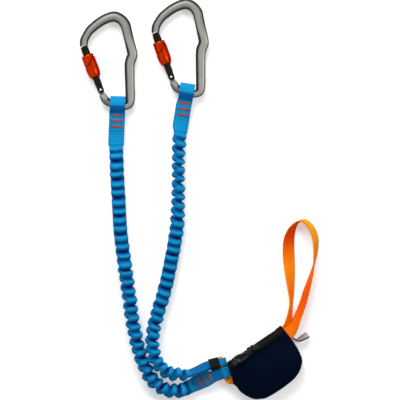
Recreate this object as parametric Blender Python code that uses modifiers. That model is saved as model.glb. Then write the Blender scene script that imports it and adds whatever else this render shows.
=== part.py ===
"""A via ferrata lanyard lying flat: two locking carabiners, each in the sewn eye of a gathered elastic arm,
a pouch with the folded tear-webbing absorber inside it, and the webbing loop that ties it to the harness.
Metres, +Z up. It lies on z = 0, seen from above as in a product picture, with the carabiners at +Y."""

import math

import bmesh
import bpy
import numpy as np
from mathutils import Matrix, Vector
from mathutils.bvhtree import BVHTree

# The layout, read off the photograph
PIXEL = 0.001165  # one photograph pixel on the object
ORIGIN_PX = (199.2, 199.4)  # the middle of the object's outline, which is the part's origin
GAP = 0.0003  # between pieces that touch
FLOOR_GAP = 0.0002  # between the soft pieces and the surface they lie on
CUT_OVERRUN = 0.002  # how far a cutter runs past what it cuts
MERGE = 0.00001  # points nearer than this are one

# Carabiner frame
CARABINER_LENGTH = 0.1153
FRAME_DEPTH = 0.0100  # across the carabiner's plane
BASKET_DEPTH = 0.0090  # the same where the webbing sits
NOSE_DEPTH = 0.0086
TONGUE_THICKNESS = 0.0028  # the thin ends of the frame that the gate's forks take
TONGUE_RADIUS = 0.0034
KEY_LENGTH = 0.0036
KEY_WIDTH = 0.0044
KEY_HEAD_WIDTH = 0.0062
CARABINER_LEVEL = 0.0078  # height of the carabiners' middle plane over the surface

# Gate, its rivet and the spring and plunger inside it
GATE_RADIUS = 0.0041
GATE_END_RADIUS = 0.0043
GATE_NOSE_GAP = 0.0006
FORK_DEPTH = 0.0052  # how far the slot at the hinge reaches past the rivet
RIVET_RADIUS = 0.0015
RIVET_HEAD_RADIUS = 0.0022
RIVET_HEAD_HEIGHT = 0.0005
CHEEK_HEIGHT = 0.0038  # half the gate's depth between the rivet's heads
CHEEK_LENGTH = 0.0075
BORE_RADIUS = 0.0016
BORE_LENGTH = 0.0190
PLUNGER_RADIUS = 0.0012
PLUNGER_LENGTH = 0.0080
GATE_WIRE = 0.0005
GATE_COILS = 5

# Locking sleeve and its spring
SLEEVE_START = 0.0163  # from the rivet, along the gate
SLEEVE_LENGTH = 0.0272
SLEEVE_RADIUS = 0.0071
SLEEVE_STEP = 0.0006  # how far the lower collar stands proud of the upper one
SLEEVE_BOTTOM_RADIUS = 0.0058
STEP_START = 0.0128  # the helical step's low end, from the sleeve's bottom
STEP_RISE = 0.0078
SLEEVE_CLEARANCE = 0.0002
POCKET_RADIUS = 0.0054
POCKET_START = 0.0030
POCKET_LENGTH = 0.0090
SLEEVE_WIRE = 0.0007
SLEEVE_COILS = 4
COLLAR_RADIUS = 0.0052  # the gate's own collar below the sleeve
COLLAR_LENGTH = 0.0012

# Webbing of the arms and its sewn ends
ARM_WIDTH = 0.0166
ARM_HALF_THICKNESS = 0.0030  # of the gathered tube, measured square to the arm
GATHER_HEIGHT = 0.0045  # how far the gathers swing to each side
GATHER_LENGTH = 0.0104
GATHER_STEPS = 6
GATHER_FADE = 0.012
WEBBING_THICKNESS = 0.0021
UPPER_EYE_WIDTH = 0.0168
UPPER_EYE_REACH = 0.0090  # from the basket bar's middle to the webbing's own middle
UPPER_EYE_HALF_HEIGHT = 0.0062
UPPER_EYE_NECK = 0.0128
UPPER_SEWN_LENGTH = 0.0476
FRONT_EYE_WIDTH = 0.0128
REAR_EYE_WIDTH = 0.0066
LOWER_EYE_REACH = 0.0051
LOWER_EYE_HALF_HEIGHT = 0.0027
LOWER_EYE_NECK = 0.0085
LOWER_SEWN_LENGTH = 0.0385
LOWER_SEWN_WIDTH = 0.0172
EYE_WIDENS_OVER = 0.016
REST_BLEND = 0.022  # the arms sink to the surface over this length

# Lanyard loop, which both lower eyes go round, and the keeper on the upper one
LOOP_WIDTH = 0.0064
LOOP_THICKNESS = 0.0020
LOOP_LEVEL = 0.0078
LOOP_RETURN_LEVEL = 0.0016
KEEPER_START = 0.0046  # from the loop, along the webbing
KEEPER_LENGTH = 0.0085
KEEPER_THICKNESS = 0.0010

# Harness loop
HARNESS_WIDTH = 0.0145
HARNESS_THICKNESS = 0.0023

# Pouch
POUCH_CORNER_PX = (227.7, 363.3)  # the left end of its top edge
POUCH_ANGLE = math.radians(34.8)
POUCH_WIDTH = 0.0849
POUCH_DEPTH = 0.0594
POUCH_SEAM_LEVEL = 0.0105
POUCH_FRONT_RISE = 0.0150
POUCH_WALL = 0.0013
SEAM_GAP = 0.0008  # from the seam's middle to each sheet's edge
MOUTH_LIFT = 0.0042  # how far the front's edge rises over the webbing at each mouth
MOUTH_DROP = 0.0100  # how far the back's edge sinks under it
BINDING_WIDTH = 0.0042
BINDING_THICKNESS = 0.0016
ZIP_WIDTH = 0.0085
ZIP_THICKNESS = 0.0011
ZIP_TEETH_WIDTH = 0.0030
ZIP_TEETH_HEIGHT = 0.0009
ZIP_REACH = 0.0015  # the tape clears the front's highest point within this distance
SLIDER_LENGTH = 0.0090
SLIDER_WIDTH = 0.0060
SLIDER_HEIGHT = 0.0022
BRIDGE_HEIGHT = 0.0042
BRIDGE_LENGTH = 0.0050
BRIDGE_WALL = 0.0012
ZIP_TRAVEL = 0.050
PULLER_DIAMETER = 0.0022
PULLER_LENGTH = 0.0235  # from the slider to the knot
KNOT_LENGTH = 0.0135
KNOT_RADIUS = 0.0034
LABEL_WIDTH = 0.0100
LABEL_THICKNESS = 0.0009

# Absorber pack
ABSORBER_LENGTH = 0.038
ABSORBER_WIDTH = 0.026
ABSORBER_LAYER = 0.0018
ABSORBER_LAYERS = 7
ABSORBER_PITCH = 0.0022

RED_ORANGE, BLUE, NAVY, BLACK = "#c8371a", "#1478c0", "#0c1830", "#15161a"
ORANGE, GREY_METAL, STEEL, LABEL_GREY = "#e8730f", "#8e8e88", "#b8bcc0", "#9a9a98"

# The frame's middle line from the nose round to the hinge, in shares of its length from the middle of
# the basket bar: across, along, and the stock's width.
FRAME_LINE_SHARES = [
    (-0.339, 0.589, 0.080), (-0.334, 0.649, 0.085), (-0.305, 0.708, 0.085), (-0.268, 0.758, 0.091),
    (-0.183, 0.828, 0.098), (-0.102, 0.872, 0.101), (-0.030, 0.889, 0.108), (0.037, 0.862, 0.106),
    (0.081, 0.807, 0.107), (0.098, 0.749, 0.101), (0.122, 0.645, 0.100), (0.149, 0.535, 0.103),
    (0.151, 0.490, 0.105), (0.129, 0.429, 0.106), (0.124, 0.365, 0.101), (0.129, 0.179, 0.097),
    (0.131, 0.086, 0.097), (0.124, 0.009, 0.086), (0.084, -0.0176, 0.077), (0.040, -0.0084, 0.074),
    (-0.035, 0.0073, 0.074), (-0.078, 0.0164, 0.076), (-0.117, 0.045, 0.081), (-0.148, 0.098, 0.070),
]  # fmt: skip
RIVET_SHARES = (-0.167, 0.148)
BASKET_SLOPE_SHARE = -0.21  # how far the basket bar falls for each step across

# Each side's places: the middle of the basket bar, and the carabiner's turn
CARABINERS_PX = {"left": (117.2, 104.5), "right": (187.5, 91.9)}
CARABINER_TURN = {"left": 0.0, "right": math.radians(-1.3)}

# Each arm's webbing from the basket bar to the lanyard loop: pixel x and y, its roll in degrees, where 0
# lies flat and 90 stands on edge, and how far it is lifted off the surface, in pixels
STRANDS_PX = {
    "left": [
        (116.7, 104.6, 0, 0), (116.5, 116, 0, 0), (116.3, 130, 0, 0), (116.0, 145.4, 0, 0), (116.6, 159, 0, 0),
        (116.9, 171.8, 0, 0), (118.2, 192.2, 0, 0), (119.2, 212.7, 0, 0), (120.6, 233.1, -4, 0),
        (122.7, 249.4, -12, 0), (124.9, 267, -24, 0), (127.4, 284.1, -34, 0), (129.8, 300.4, -42, 0),
        (132.2, 318.8, -46, 0), (135.3, 335, -46, 0), (139.6, 351.8, -42, 0), (145.4, 368, -34, 0),
        (153.8, 381.4, -24, 0), (165.2, 389.4, -14, 0), (179.0, 390.6, -6, 0), (191.0, 386.4, 0, 0),
        (201.0, 381.6, 0, 0), (210.0, 378.2, 0, 0), (217.8, 374.9, 0, 0), (224.3, 372.8, 0, 0),
    ],
    "right": [
        (186.7, 91.7, 0, 0), (184.8, 103.5, 0, 0), (182.9, 115, -4, 0), (180.8, 128, -18, 0), (179.3, 140, -42, 0),
        (178.8, 151.4, -58, 0), (178.2, 171.8, -66, 0), (178.2, 192.2, -64, 0), (177.8, 210.6, -50, 0),
        (176.7, 229, -26, 0), (173.6, 248, -10, 0), (170.4, 264.5, -6, 0), (166.2, 284.1, -12, 0),
        (161.6, 302.4, -26, 0), (157.4, 319, -38, 1), (154.9, 334, -48, 3), (154.6, 347.3, -54, 5),
        (157.8, 359.2, -58, 6), (166.0, 368.6, -62, 5), (178.6, 372.6, -68, 3), (191.0, 372.0, -76, 1),
        (201.5, 368.6, -66, 0), (208.8, 365.6, -40, 0), (215.2, 363.9, -12, 0), (221.4, 362.4, 0, 0),
    ],
}  # fmt: skip

# The lanyard loop: from inside the pouch, up through both eyes, down and back under them
# and its height as a share of the loop's level there
LANYARD_LOOP_PX = [
    (244, 375.0, 1.16), (238.5, 379.0, 1.1), (233, 382.4, 1.0), (228.2, 382.4, 1.0), (226.0, 378.5, 1.0),
    (224.35, 373.0, 1.0), (222.8, 367.6, 1.0), (221.3, 362.4, 1.0), (220.0, 357.9, 1.0),
]  # fmt: skip
LANYARD_RETURN_PX = [
    (222.2, 361.9, 0.21), (224.7, 365.0, 0.25), (227.0, 367.3, 0.41), (229.6, 368.8, 0.54), (234, 370.3, 0.64),
    (239.5, 371.0, 0.74),
]  # fmt: skip

# The harness loop from inside the pouch, up its left leg, over the top and down its right leg: pixel x
# and y, roll in degrees, and how far it is lifted off the surface, in pixels
HARNESS_ROUTE_PX = [
    (274.8, 339.6, 0, 6.8), (279.8, 336.2, 0, 6.4), (284.3, 332.4, 4, 4.8), (287.4, 327.4, 22, 1.3),
    (288.8, 320.5, 46, 0.4), (290.2, 312.5, 66, 0), (291.2, 303, 76, 0), (291.2, 292, 62, 0), (290.3, 278, 43, 0),
    (289.4, 265, 24, 0), (288.8, 254, 18, 0), (288.8, 244.5, 22, 0), (289.8, 236, 38, 0), (292.3, 229, 56, 0),
    (296.0, 223.8, 74, 0), (300.9, 221.2, 88, 0), (305.8, 222.6, 100, 0), (310.2, 226.6, 108, 0),
    (313.8, 232.8, 112, 0), (315.7, 240, 111, 0), (315.8, 249, 106, 0), (314.8, 259, 98, 0), (313.0, 268.5, 90, 0),
    (310.4, 279, 80, 0), (307.2, 290, 70, 0), (304.6, 301, 64, 0), (302.0, 311.5, 60, 0.8), (298.2, 320.5, 46, 4.0),
    (292.2, 327.8, 16, 7.6), (286.4, 332.8, 4, 8.8), (281.4, 336.8, 0, 9.0), (276.2, 340.4, 0, 9.1),
]  # fmt: skip
HARNESS_MOUTH_SHARE = 0.80  # the strap's width where it is bunched into the mouth
HARNESS_BUNCH_PX = 16  # the length of strap over which it is bunched

# The pouch's outline: shares of its width along its top edge, and of its depth down from it
POUCH_OUTLINE_SHARES = [
    (0.000, 0.000), (0.180, -0.006), (0.400, -0.010), (0.620, -0.008), (0.800, -0.002), (0.888, 0.000),
    (0.899, 0.120), (0.906, 0.240), (0.904, 0.400), (0.896, 0.560), (0.870, 0.740), (0.813, 0.850),
    (0.713, 0.940), (0.588, 0.988), (0.378, 1.000), (0.185, 0.982), (0.110, 0.940), (0.020, 0.850),
    (-0.058, 0.650), (-0.080, 0.486), (-0.088, 0.370), (-0.055, 0.230), (-0.022, 0.100),
]  # fmt: skip
POUCH_CENTRE_SHARES = (0.42, 0.50)
POUCH_RING_SHARES = (1.0, 0.975, 0.90, 0.76, 0.58, 0.36)
FLAT_SHARE = 0.45  # the middle share of the back that lies flat
LEFT_MOUTH_SHARES = (0.21, 0.25)  # the left mouth's middle and half length, down the side
RIGHT_MOUTH_SHARES = (0.14, 0.17)
ZIP_ENDS_SHARES = (0.035, 0.865)
ZIP_LINE_SHARE = 0.088  # how far down the front the zip's middle runs
SLIDER_SHARE = 0.115
PULLER_LINE_SHARES = [(1.0, 0.16), (0.72, 0.30), (0.40, 0.46), (0.12, 0.44), (0.0, 0.24), (0.0, 0.0)]
LABEL_ROUTE_PX = [(293.4, 338.6), (296.6, 340.2), (299.6, 340.6), (303.4, 338.8), (307.6, 336.6)]

FINE_STEPS = 600  # points on a path before it is read off


# Making things
def start_clean():
    for old in list(bpy.data.objects):
        bpy.data.objects.remove(old, do_unlink=True)
    part, cutters = (bpy.data.collections.new(name) for name in ("via_ferrata_lanyard", "cutters"))
    for group in (part, cutters):
        bpy.context.scene.collection.children.link(group)
    return part, cutters


def material(name, colour, roughness, metallic=0.0):
    found = bpy.data.materials.get(name)
    if found:
        return found
    made = bpy.data.materials.new(name)
    made.use_nodes = True
    parts = [int(colour[i : i + 2], 16) / 255 for i in (1, 3, 5)]
    linear = [c / 12.92 if c <= 0.04045 else ((c + 0.055) / 1.055) ** 2.4 for c in parts]
    shader = made.node_tree.nodes["Principled BSDF"]
    shader.inputs["Base Color"].default_value = (*linear, 1)
    shader.inputs["Roughness"].default_value = roughness
    shader.inputs["Metallic"].default_value = metallic
    return made


def add(name, bm, finish, parent=None, turned_out=False):
    """The bmesh as a named object of the part, with its faces turned outwards."""
    if not turned_out:
        bmesh.ops.recalc_face_normals(bm, faces=bm.faces)
    mesh = bpy.data.meshes.new(name)
    bm.to_mesh(mesh)
    bm.free()
    mesh.materials.append(finish)
    made = bpy.data.objects.new(name, mesh)
    PART.objects.link(made)
    made.parent = parent
    mesh.shade_smooth()
    mesh.set_sharp_from_angle(angle=math.radians(40))
    return made


def empty(name, place, turn=0.0, parent=None):
    made = bpy.data.objects.new(name, None)
    made.location = place
    made.rotation_euler = (0, 0, turn)
    made.parent = parent
    PART.objects.link(made)
    return made


def loft(rings, closed=False):
    """A bmesh skin over rings of the same number of points, capped at both ends unless it is closed."""
    bm = bmesh.new()
    rows = [[bm.verts.new(tuple(p)) for p in ring] for ring in rings]
    n = len(rows[0])
    pairs = list(zip(rows, rows[1:]))
    if closed:
        pairs.append((rows[-1], rows[0]))
    for low, high in pairs:
        for i in range(n):
            j = (i + 1) % n
            bm.faces.new((low[i], low[j], high[j], high[i]))
    if not closed:
        bm.faces.new(rows[0])
        bm.faces.new(rows[-1])
    return bm


def turned(name, profile, finish, parent, steps=16, upright=False):
    """A profile turned by a Screw modifier about the parent's Y axis, or its Z axis where it is upright.
    The profile runs down the outer side: along, and radius."""
    mesh = bpy.data.meshes.new(name)
    mesh.from_pydata([(radius, 0, along) for along, radius in profile], [(i, i + 1) for i in range(len(profile) - 1)], [])
    mesh.materials.append(finish)
    made = bpy.data.objects.new(name, mesh)
    PART.objects.link(made)
    made.parent = parent
    made.rotation_euler = (0, 0, 0) if upright else (-math.pi / 2, 0, 0)
    screw = made.modifiers.new("turn", "SCREW")
    screw.steps = screw.render_steps = steps
    screw.use_merge_vertices = True
    screw.merge_threshold = MERGE
    return made


def tube_of(name, points, radius, finish, parent=None, fineness=1):
    """A round bar along the points, as a curve with filled caps."""
    curve = bpy.data.curves.new(name, "CURVE")
    curve.dimensions = "3D"
    curve.bevel_depth = radius
    curve.bevel_resolution = fineness
    curve.use_fill_caps = True
    spline = curve.splines.new("POLY")
    spline.points.add(len(points) - 1)
    for point, place in zip(spline.points, points):
        point.co = (*place, 1)
    curve.materials.append(finish)
    made = bpy.data.objects.new(name, curve)
    PART.objects.link(made)
    made.parent = parent
    return made


def cut(piece, cutter, operation="DIFFERENCE"):
    """The cutter taken out of the piece by an exact Boolean modifier."""
    PART.objects.unlink(cutter)
    CUTTERS.objects.link(cutter)
    cutter.hide_render = True
    cutter.display_type = "WIRE"
    change = piece.modifiers.new(cutter.name, "BOOLEAN")
    change.operation = operation
    change.solver = "EXACT"
    change.object = cutter
    return piece


def box_cutter(name, low, high, parent):
    bm = bmesh.new()
    size = [b - a for a, b in zip(low, high)]
    middle = [(a + b) / 2 for a, b in zip(low, high)]
    bmesh.ops.create_cube(bm, size=1, matrix=Matrix.Translation(middle) @ Matrix.Diagonal((*size, 1)))
    return add(name, bm, material("cutter", BLACK, 0.5), parent)


def pin_cutter(name, radius, length, parent, matrix=Matrix.Identity(4), sides=14):
    bm = bmesh.new()
    bmesh.ops.create_cone(bm, cap_ends=True, segments=sides, radius1=radius, radius2=radius, depth=length, matrix=matrix)
    return add(name, bm, material("cutter", BLACK, 0.5), parent)


# Paths
def on_surface(px, py):
    """The place under a photograph pixel."""
    return np.array([(px - ORIGIN_PX[0]) * PIXEL, (ORIGIN_PX[1] - py) * PIXEL])


def smooth(rows, count=FINE_STEPS):
    """Rows of numbers, the first two or three of them a place, spaced evenly on a smooth curve through the given rows."""
    rows = np.array(rows, float)
    ends = np.vstack([2 * rows[0] - rows[1], rows, 2 * rows[-1] - rows[-2]])
    found = []
    for a, b, c, d in zip(ends, ends[1:], ends[2:], ends[3:]):
        for t in np.linspace(0, 1, 24, endpoint=False):
            found.append(0.5 * (2 * b + (c - a) * t + (2 * a - 5 * b + 4 * c - d) * t**2 + (3 * b - a - 3 * c + d) * t**3))
    found = np.array(found + [rows[-1]])
    along = np.concatenate([[0], np.cumsum(np.linalg.norm(np.diff(found[:, :2], axis=0), axis=1))])
    at = np.linspace(0, along[-1], count)
    return np.stack([np.interp(at, along, found[:, k]) for k in range(found.shape[1])], axis=1)


def eased(share):
    share = min(1.0, max(0.0, share))
    return share * share * (3 - 2 * share)


class Path:
    """A line in space with its length, and at each distance its place, direction, normal and side."""

    def __init__(self, places, rolls):
        self.places = np.array(places, float)
        self.along = np.concatenate([[0], np.cumsum(np.linalg.norm(np.diff(self.places, axis=0), axis=1))])
        self.length = float(self.along[-1])
        self.rolls = np.array(rolls, float)
        self.ways = np.gradient(self.places, self.along, axis=0)

    def spread(self, count):
        """Distances along the line, closer together where it bends or rolls."""
        ways = self.ways / np.linalg.norm(self.ways, axis=1)[:, None]
        bend = np.linalg.norm(np.gradient(ways, axis=0), axis=1) + np.radians(np.abs(np.gradient(self.rolls)))
        weight = np.cumsum(1 / len(bend) + bend / bend.sum())
        return np.interp(np.linspace(weight[0], weight[-1], count), weight, self.along)

    def at(self, distance):
        inside = min(max(distance, 0.0), self.length)
        place, way = (
            Vector([np.interp(inside, self.along, row[:, k]) for k in range(3)]) for row in (self.places, self.ways)
        )
        way.normalize()
        place += way * (distance - inside)
        up = (Vector((0, 0, 1)) - way * way.z).normalized()
        side = way.cross(up)
        roll = math.radians(np.interp(inside, self.along, self.rolls))
        return place, way, up * math.cos(roll) + side * math.sin(roll), side * math.cos(roll) - up * math.sin(roll)


def flat_ring(middle, normal, side, half_thickness, half_width):
    """Six points round a strap: two flat faces and edges that come to a low ridge."""
    shoulder = half_width - half_thickness * 0.7
    return [
        middle + normal * half_thickness - side * shoulder,
        middle + normal * half_thickness + side * shoulder,
        middle + side * half_width,
        middle - normal * half_thickness + side * shoulder,
        middle - normal * half_thickness - side * shoulder,
        middle - side * half_width,
    ]


def strap(name, path, thickness, width, finish, steps, parent=None):
    rings = []
    for distance in np.linspace(0, path.length, steps):
        place, _, normal, side = path.at(distance)
        rings.append(flat_ring(place, normal, side, thickness / 2, width / 2))
    return add(name, loft(rings), finish, parent)


def resting(roll, half_height, half_width, edge):
    """How high a strap's middle lies when it rests on the surface at that roll."""
    lean, stand = abs(math.cos(math.radians(roll))), abs(math.sin(math.radians(roll)))
    return FLOOR_GAP + max(lean * half_height + stand * (half_width - edge), lean * (half_height - edge) + stand * half_width)


# Carabiners
def frame_rings():
    rows = smooth([(x, y, w) for x, y, w in FRAME_LINE_SHARES], 40) * CARABINER_LENGTH
    ways = np.gradient(rows[:, :2], axis=0)
    ways /= np.linalg.norm(ways, axis=1)[:, None]
    rings = []
    for i, ((x, y, width), (dx, dy)) in enumerate(zip(rows, ways)):
        share = i / (len(rows) - 1)
        bow = math.sin(math.pi * min(1.0, share / 0.75)) ** 0.6
        depth = NOSE_DEPTH + (FRAME_DEPTH - NOSE_DEPTH) * bow
        if share > 0.75:
            depth = BASKET_DEPTH + (NOSE_DEPTH - BASKET_DEPTH) * eased((share - 0.9) / 0.1)
        squareness = 0.66 if share < 0.72 else 0.95
        rings.append(section(Vector((x, y, 0)), Vector((dy, -dx, 0)), width / 2, depth / 2, squareness))
    return rows, ways, rings


def section(middle, outward, half_width, half_depth, squareness=0.66, sides=12):
    """The frame's stock: a rounded rectangle with nearly flat sides, or at 1 an ellipse."""
    ring = []
    for i in range(sides):
        angle = 2 * math.pi * (i + 0.5) / sides
        c, s = math.cos(angle), math.sin(angle)
        across = math.copysign(abs(c) ** squareness, c)
        deep = math.copysign(abs(s) ** squareness, s)
        ring.append(middle + outward * half_width * across + Vector((0, 0, half_depth * deep)))
    return ring


def tongue_rings(start, way, widths):
    """Thin rings that run on from an end of the frame: distance and half width for each."""
    outward = Vector((way.y, -way.x, 0))
    return [section(start + way * far, outward, half, TONGUE_THICKNESS / 2) for far, half in widths]


def carabiner(side):
    metal = material("anodised_aluminium", GREY_METAL, 0.35, 1.0)
    black = material("black_anodised", BLACK, 0.4, 0.6)
    steel = material("steel", STEEL, 0.3, 1.0)
    base = empty(
        f"carabiner_{side}_axis", (*on_surface(*CARABINERS_PX[side]), CARABINER_LEVEL), CARABINER_TURN[side]
    )
    rows, ways, rings = frame_rings()
    rivet = Vector((*RIVET_SHARES, 0)) * CARABINER_LENGTH
    nose = Vector((*rows[0][:2], 0))
    along = (nose - rivet).normalized()
    gate_length = (nose - rivet).length - GATE_NOSE_GAP

    # The nose's end face stands square to the gate, and a key runs on from it into the gate's fork
    across = Vector((along.y, -along.x, 0))
    rings[0] = section(nose, across, rows[0][2] / 2, NOSE_DEPTH / 2)
    key = [(KEY_LENGTH, KEY_HEAD_WIDTH / 2), (KEY_LENGTH * 0.55, KEY_HEAD_WIDTH / 2), (KEY_LENGTH * 0.5, KEY_WIDTH / 2), (0, KEY_WIDTH / 2)]
    before = [section(nose - along * far, across, half, TONGUE_THICKNESS / 2) for far, half in key]
    end = Vector((*rows[-1][:2], 0))
    way = (rivet - end).normalized()
    reach = (rivet - end).length
    ears = [(0, 0.9), (reach - TONGUE_RADIUS * 0.3, 1.0), (reach + TONGUE_RADIUS * 0.35, 0.93), (reach + TONGUE_RADIUS * 0.72, 0.68), (reach + TONGUE_RADIUS, 0.22)]
    after = tongue_rings(end, way, [(far, share * TONGUE_RADIUS) for far, share in ears])
    frame = add(f"carabiner_frame_{side}", loft(before + rings + after), metal, base)
    hole = pin_cutter(f"frame_hole_{side}", RIVET_RADIUS + GAP, TONGUE_THICKNESS + 2 * CUT_OVERRUN, base, Matrix.Translation(rivet))
    cut(frame, hole)

    gate_axis = empty(f"gate_{side}_axis", rivet, math.atan2(along.y, along.x) - math.pi / 2, base)
    gate(side, gate_axis, gate_length, black, steel)
    sleeve(side, gate_axis)
    return base


def gate(side, axis, length, black, steel):
    """The gate along its own Y from the rivet to the nose, forked at both ends and bored for its spring."""
    collar = SLEEVE_START - GAP - COLLAR_LENGTH
    profile = [
        (length, 0), (length, GATE_RADIUS * 0.85), (length - GATE_RADIUS * 0.15, GATE_RADIUS),
        (collar + COLLAR_LENGTH, GATE_RADIUS), (collar + COLLAR_LENGTH, COLLAR_RADIUS), (collar, COLLAR_RADIUS),
        (collar - GAP, GATE_RADIUS), (GATE_END_RADIUS * 0.4, GATE_RADIUS),
    ]  # fmt: skip
    profile += [(-GATE_END_RADIUS * math.cos(a), GATE_END_RADIUS * math.sin(a)) for a in np.linspace(1.25, 0, 6)]
    body = turned(f"gate_{side}", profile, black, axis)
    slot = TONGUE_THICKNESS / 2 + GAP
    wide = GATE_END_RADIUS + CUT_OVERRUN
    cut(body, box_cutter(f"hinge_slot_{side}", (-wide, -wide, -slot), (wide, FORK_DEPTH, slot), axis))
    cut(body, box_cutter(f"nose_slot_{side}", (-wide, length - KEY_LENGTH, -slot), (wide, length + wide, slot), axis))
    for end, low in (("front", CHEEK_HEIGHT), ("back", -CHEEK_HEIGHT - wide)):
        cut(body, box_cutter(f"cheek_{end}_{side}", (-wide, -wide, low), (wide, CHEEK_LENGTH, low + wide), axis))
    cut(body, pin_cutter(f"gate_hole_{side}", RIVET_RADIUS + GAP, 2 * wide, axis))
    lying = Matrix.Translation((0, FORK_DEPTH + (BORE_LENGTH - CUT_OVERRUN) / 2, 0)) @ Matrix.Rotation(math.pi / 2, 4, "X")
    cut(body, pin_cutter(f"gate_bore_{side}", BORE_RADIUS, BORE_LENGTH + CUT_OVERRUN, axis, lying, 14))

    # The rivet: a shank with a head on each side
    shank = CHEEK_HEIGHT + GAP
    head = shank + RIVET_HEAD_HEIGHT
    half = [(head, 0), (head, RIVET_HEAD_RADIUS * 0.8), (shank, RIVET_HEAD_RADIUS), (shank, RIVET_RADIUS)]
    turned(f"gate_rivet_{side}", half + [(-z, radius) for z, radius in reversed(half)], steel, axis, 12, True)

    start = TONGUE_RADIUS + GAP
    tip = start + PLUNGER_RADIUS * 0.5
    far = start + PLUNGER_LENGTH
    profile = [(far, 0), (far, PLUNGER_RADIUS), (tip, PLUNGER_RADIUS), (start, PLUNGER_RADIUS * 0.6), (start, 0)]
    turned(f"gate_plunger_{side}", profile, steel, axis, 10)
    low = start + PLUNGER_LENGTH + GAP + GATE_WIRE / 2
    high = FORK_DEPTH + BORE_LENGTH - GAP - GATE_WIRE / 2 - CUT_OVERRUN / 2
    coil = BORE_RADIUS - GAP - GATE_WIRE / 2
    tube_of(f"gate_spring_{side}", helix(coil, low, high, GATE_COILS, 8), GATE_WIRE / 2, steel, axis, 0)


def turn(count):
    return [2 * math.pi * i / count for i in range(count)]


def helix(radius, low, high, coils, per_coil):
    """Points of a coil about the Y axis."""
    count = coils * per_coil
    return [
        (radius * math.sin(2 * math.pi * i / per_coil), low + (high - low) * i / count, radius * math.cos(2 * math.pi * i / per_coil))
        for i in range(count + 1)
    ]


def sleeve(side, axis):
    """The locking sleeve: two collars that meet in a helical step, over a bore with a pocket for its spring."""
    orange = material("orange_anodised", RED_ORANGE, 0.3, 0.5)
    steel = material("steel", STEEL, 0.3, 1.0)
    top = SLEEVE_START + SLEEVE_LENGTH
    upper = SLEEVE_RADIUS - SLEEVE_STEP
    bore = GATE_RADIUS + SLEEVE_CLEARANCE
    sides = 20

    def ring(level, radius):
        """level and radius are numbers, or functions of the share of a turn."""
        points = []
        for i in range(sides):
            share = i / sides
            far = level(share) if callable(level) else level
            points.append((radius * math.cos(2 * math.pi * share), far, radius * math.sin(2 * math.pi * share)))
        return points

    def step(extra):
        """The helical step climbs over most of a turn and drops back over the rest."""

        def level(share):
            shifted = (share + 0.5) % 1.0
            climb = shifted / 0.9 if shifted < 0.9 else (1 - shifted) / 0.1
            return SLEEVE_START + STEP_START + STEP_RISE * climb + extra

        return level

    swell = SLEEVE_STEP * 0.5
    rings = [
        ring(SLEEVE_START, SLEEVE_BOTTOM_RADIUS - swell), ring(SLEEVE_START + swell, SLEEVE_BOTTOM_RADIUS),
        ring(SLEEVE_START + STEP_START * 0.45, SLEEVE_RADIUS - swell), ring(SLEEVE_START + STEP_START * 0.8, SLEEVE_RADIUS),
        ring(step(-swell), SLEEVE_RADIUS), ring(step(0), upper), ring(top - STEP_START * 0.22, upper + swell),
        ring(top - swell, upper + swell), ring(top, upper), ring(top, bore),
        ring(SLEEVE_START + POCKET_START + POCKET_LENGTH, bore), ring(SLEEVE_START + POCKET_START + POCKET_LENGTH, POCKET_RADIUS),
        ring(SLEEVE_START + POCKET_START, POCKET_RADIUS), ring(SLEEVE_START + POCKET_START, bore), ring(SLEEVE_START, bore),
    ]  # fmt: skip
    add(f"locking_sleeve_{side}", loft(rings, closed=True), orange, axis)
    coil = (bore + POCKET_RADIUS) / 2 + SLEEVE_CLEARANCE / 2
    low = SLEEVE_START + POCKET_START + GAP + SLEEVE_WIRE / 2
    high = low + POCKET_LENGTH - 2 * GAP - SLEEVE_WIRE
    tube_of(f"sleeve_spring_{side}", helix(coil, low, high, SLEEVE_COILS, 10), SLEEVE_WIRE / 2, steel, axis, 0)


# Arms
def arm_height(distance, length):
    """How far the gathers swing at that distance along the strand."""
    return GATHER_HEIGHT * eased((distance - UPPER_SEWN_LENGTH) / GATHER_FADE) * eased(
        (length - LOWER_SEWN_LENGTH - distance) / GATHER_FADE
    )


def eye_height(far, half_height, neck):
    """Half the opening of a sewn eye at that distance from the bar, to the middle of the webbing."""
    layer = WEBBING_THICKNESS / 2 + GAP / 2
    share = min(1.0, max(0.0, far / neck))
    return layer + (half_height - layer) * (1 - share**1.6) ** 1.15


def bulk(side, distance, length):
    """Half the height and half the width of what lies at that distance along the strand."""
    if distance < UPPER_SEWN_LENGTH:
        return eye_height(distance, UPPER_EYE_HALF_HEIGHT, UPPER_EYE_NECK) + WEBBING_THICKNESS / 2, UPPER_EYE_WIDTH / 2
    far = length - distance
    if far < LOWER_SEWN_LENGTH:
        half = eye_height(far, LOWER_EYE_HALF_HEIGHT, LOWER_EYE_NECK) + WEBBING_THICKNESS / 2
        wide = lower_width(side, far) / 2
        if side == "right":
            extra = 2 * KEEPER_THICKNESS * eased((KEEPER_START + 2 * KEEPER_LENGTH - far) / KEEPER_LENGTH)
            half, wide = half + extra, wide + extra
        return half, wide
    swing = arm_height(distance, length)
    return swing + arm_half(swing), ARM_WIDTH / 2


def arm_half(swing):
    """Half the gathered arm's thickness: that of the sewn webbing where the gathers fade out."""
    return WEBBING_THICKNESS + (ARM_HALF_THICKNESS - WEBBING_THICKNESS) * swing / GATHER_HEIGHT


def lower_width(side, far):
    """The lower webbing's width: bunched on the loop, and full further on."""
    eye_width = FRONT_EYE_WIDTH if side == "left" else REAR_EYE_WIDTH
    return eye_width + (LOWER_SEWN_WIDTH - eye_width) * eased((far - LOWER_EYE_NECK) / EYE_WIDENS_OVER)


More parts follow.
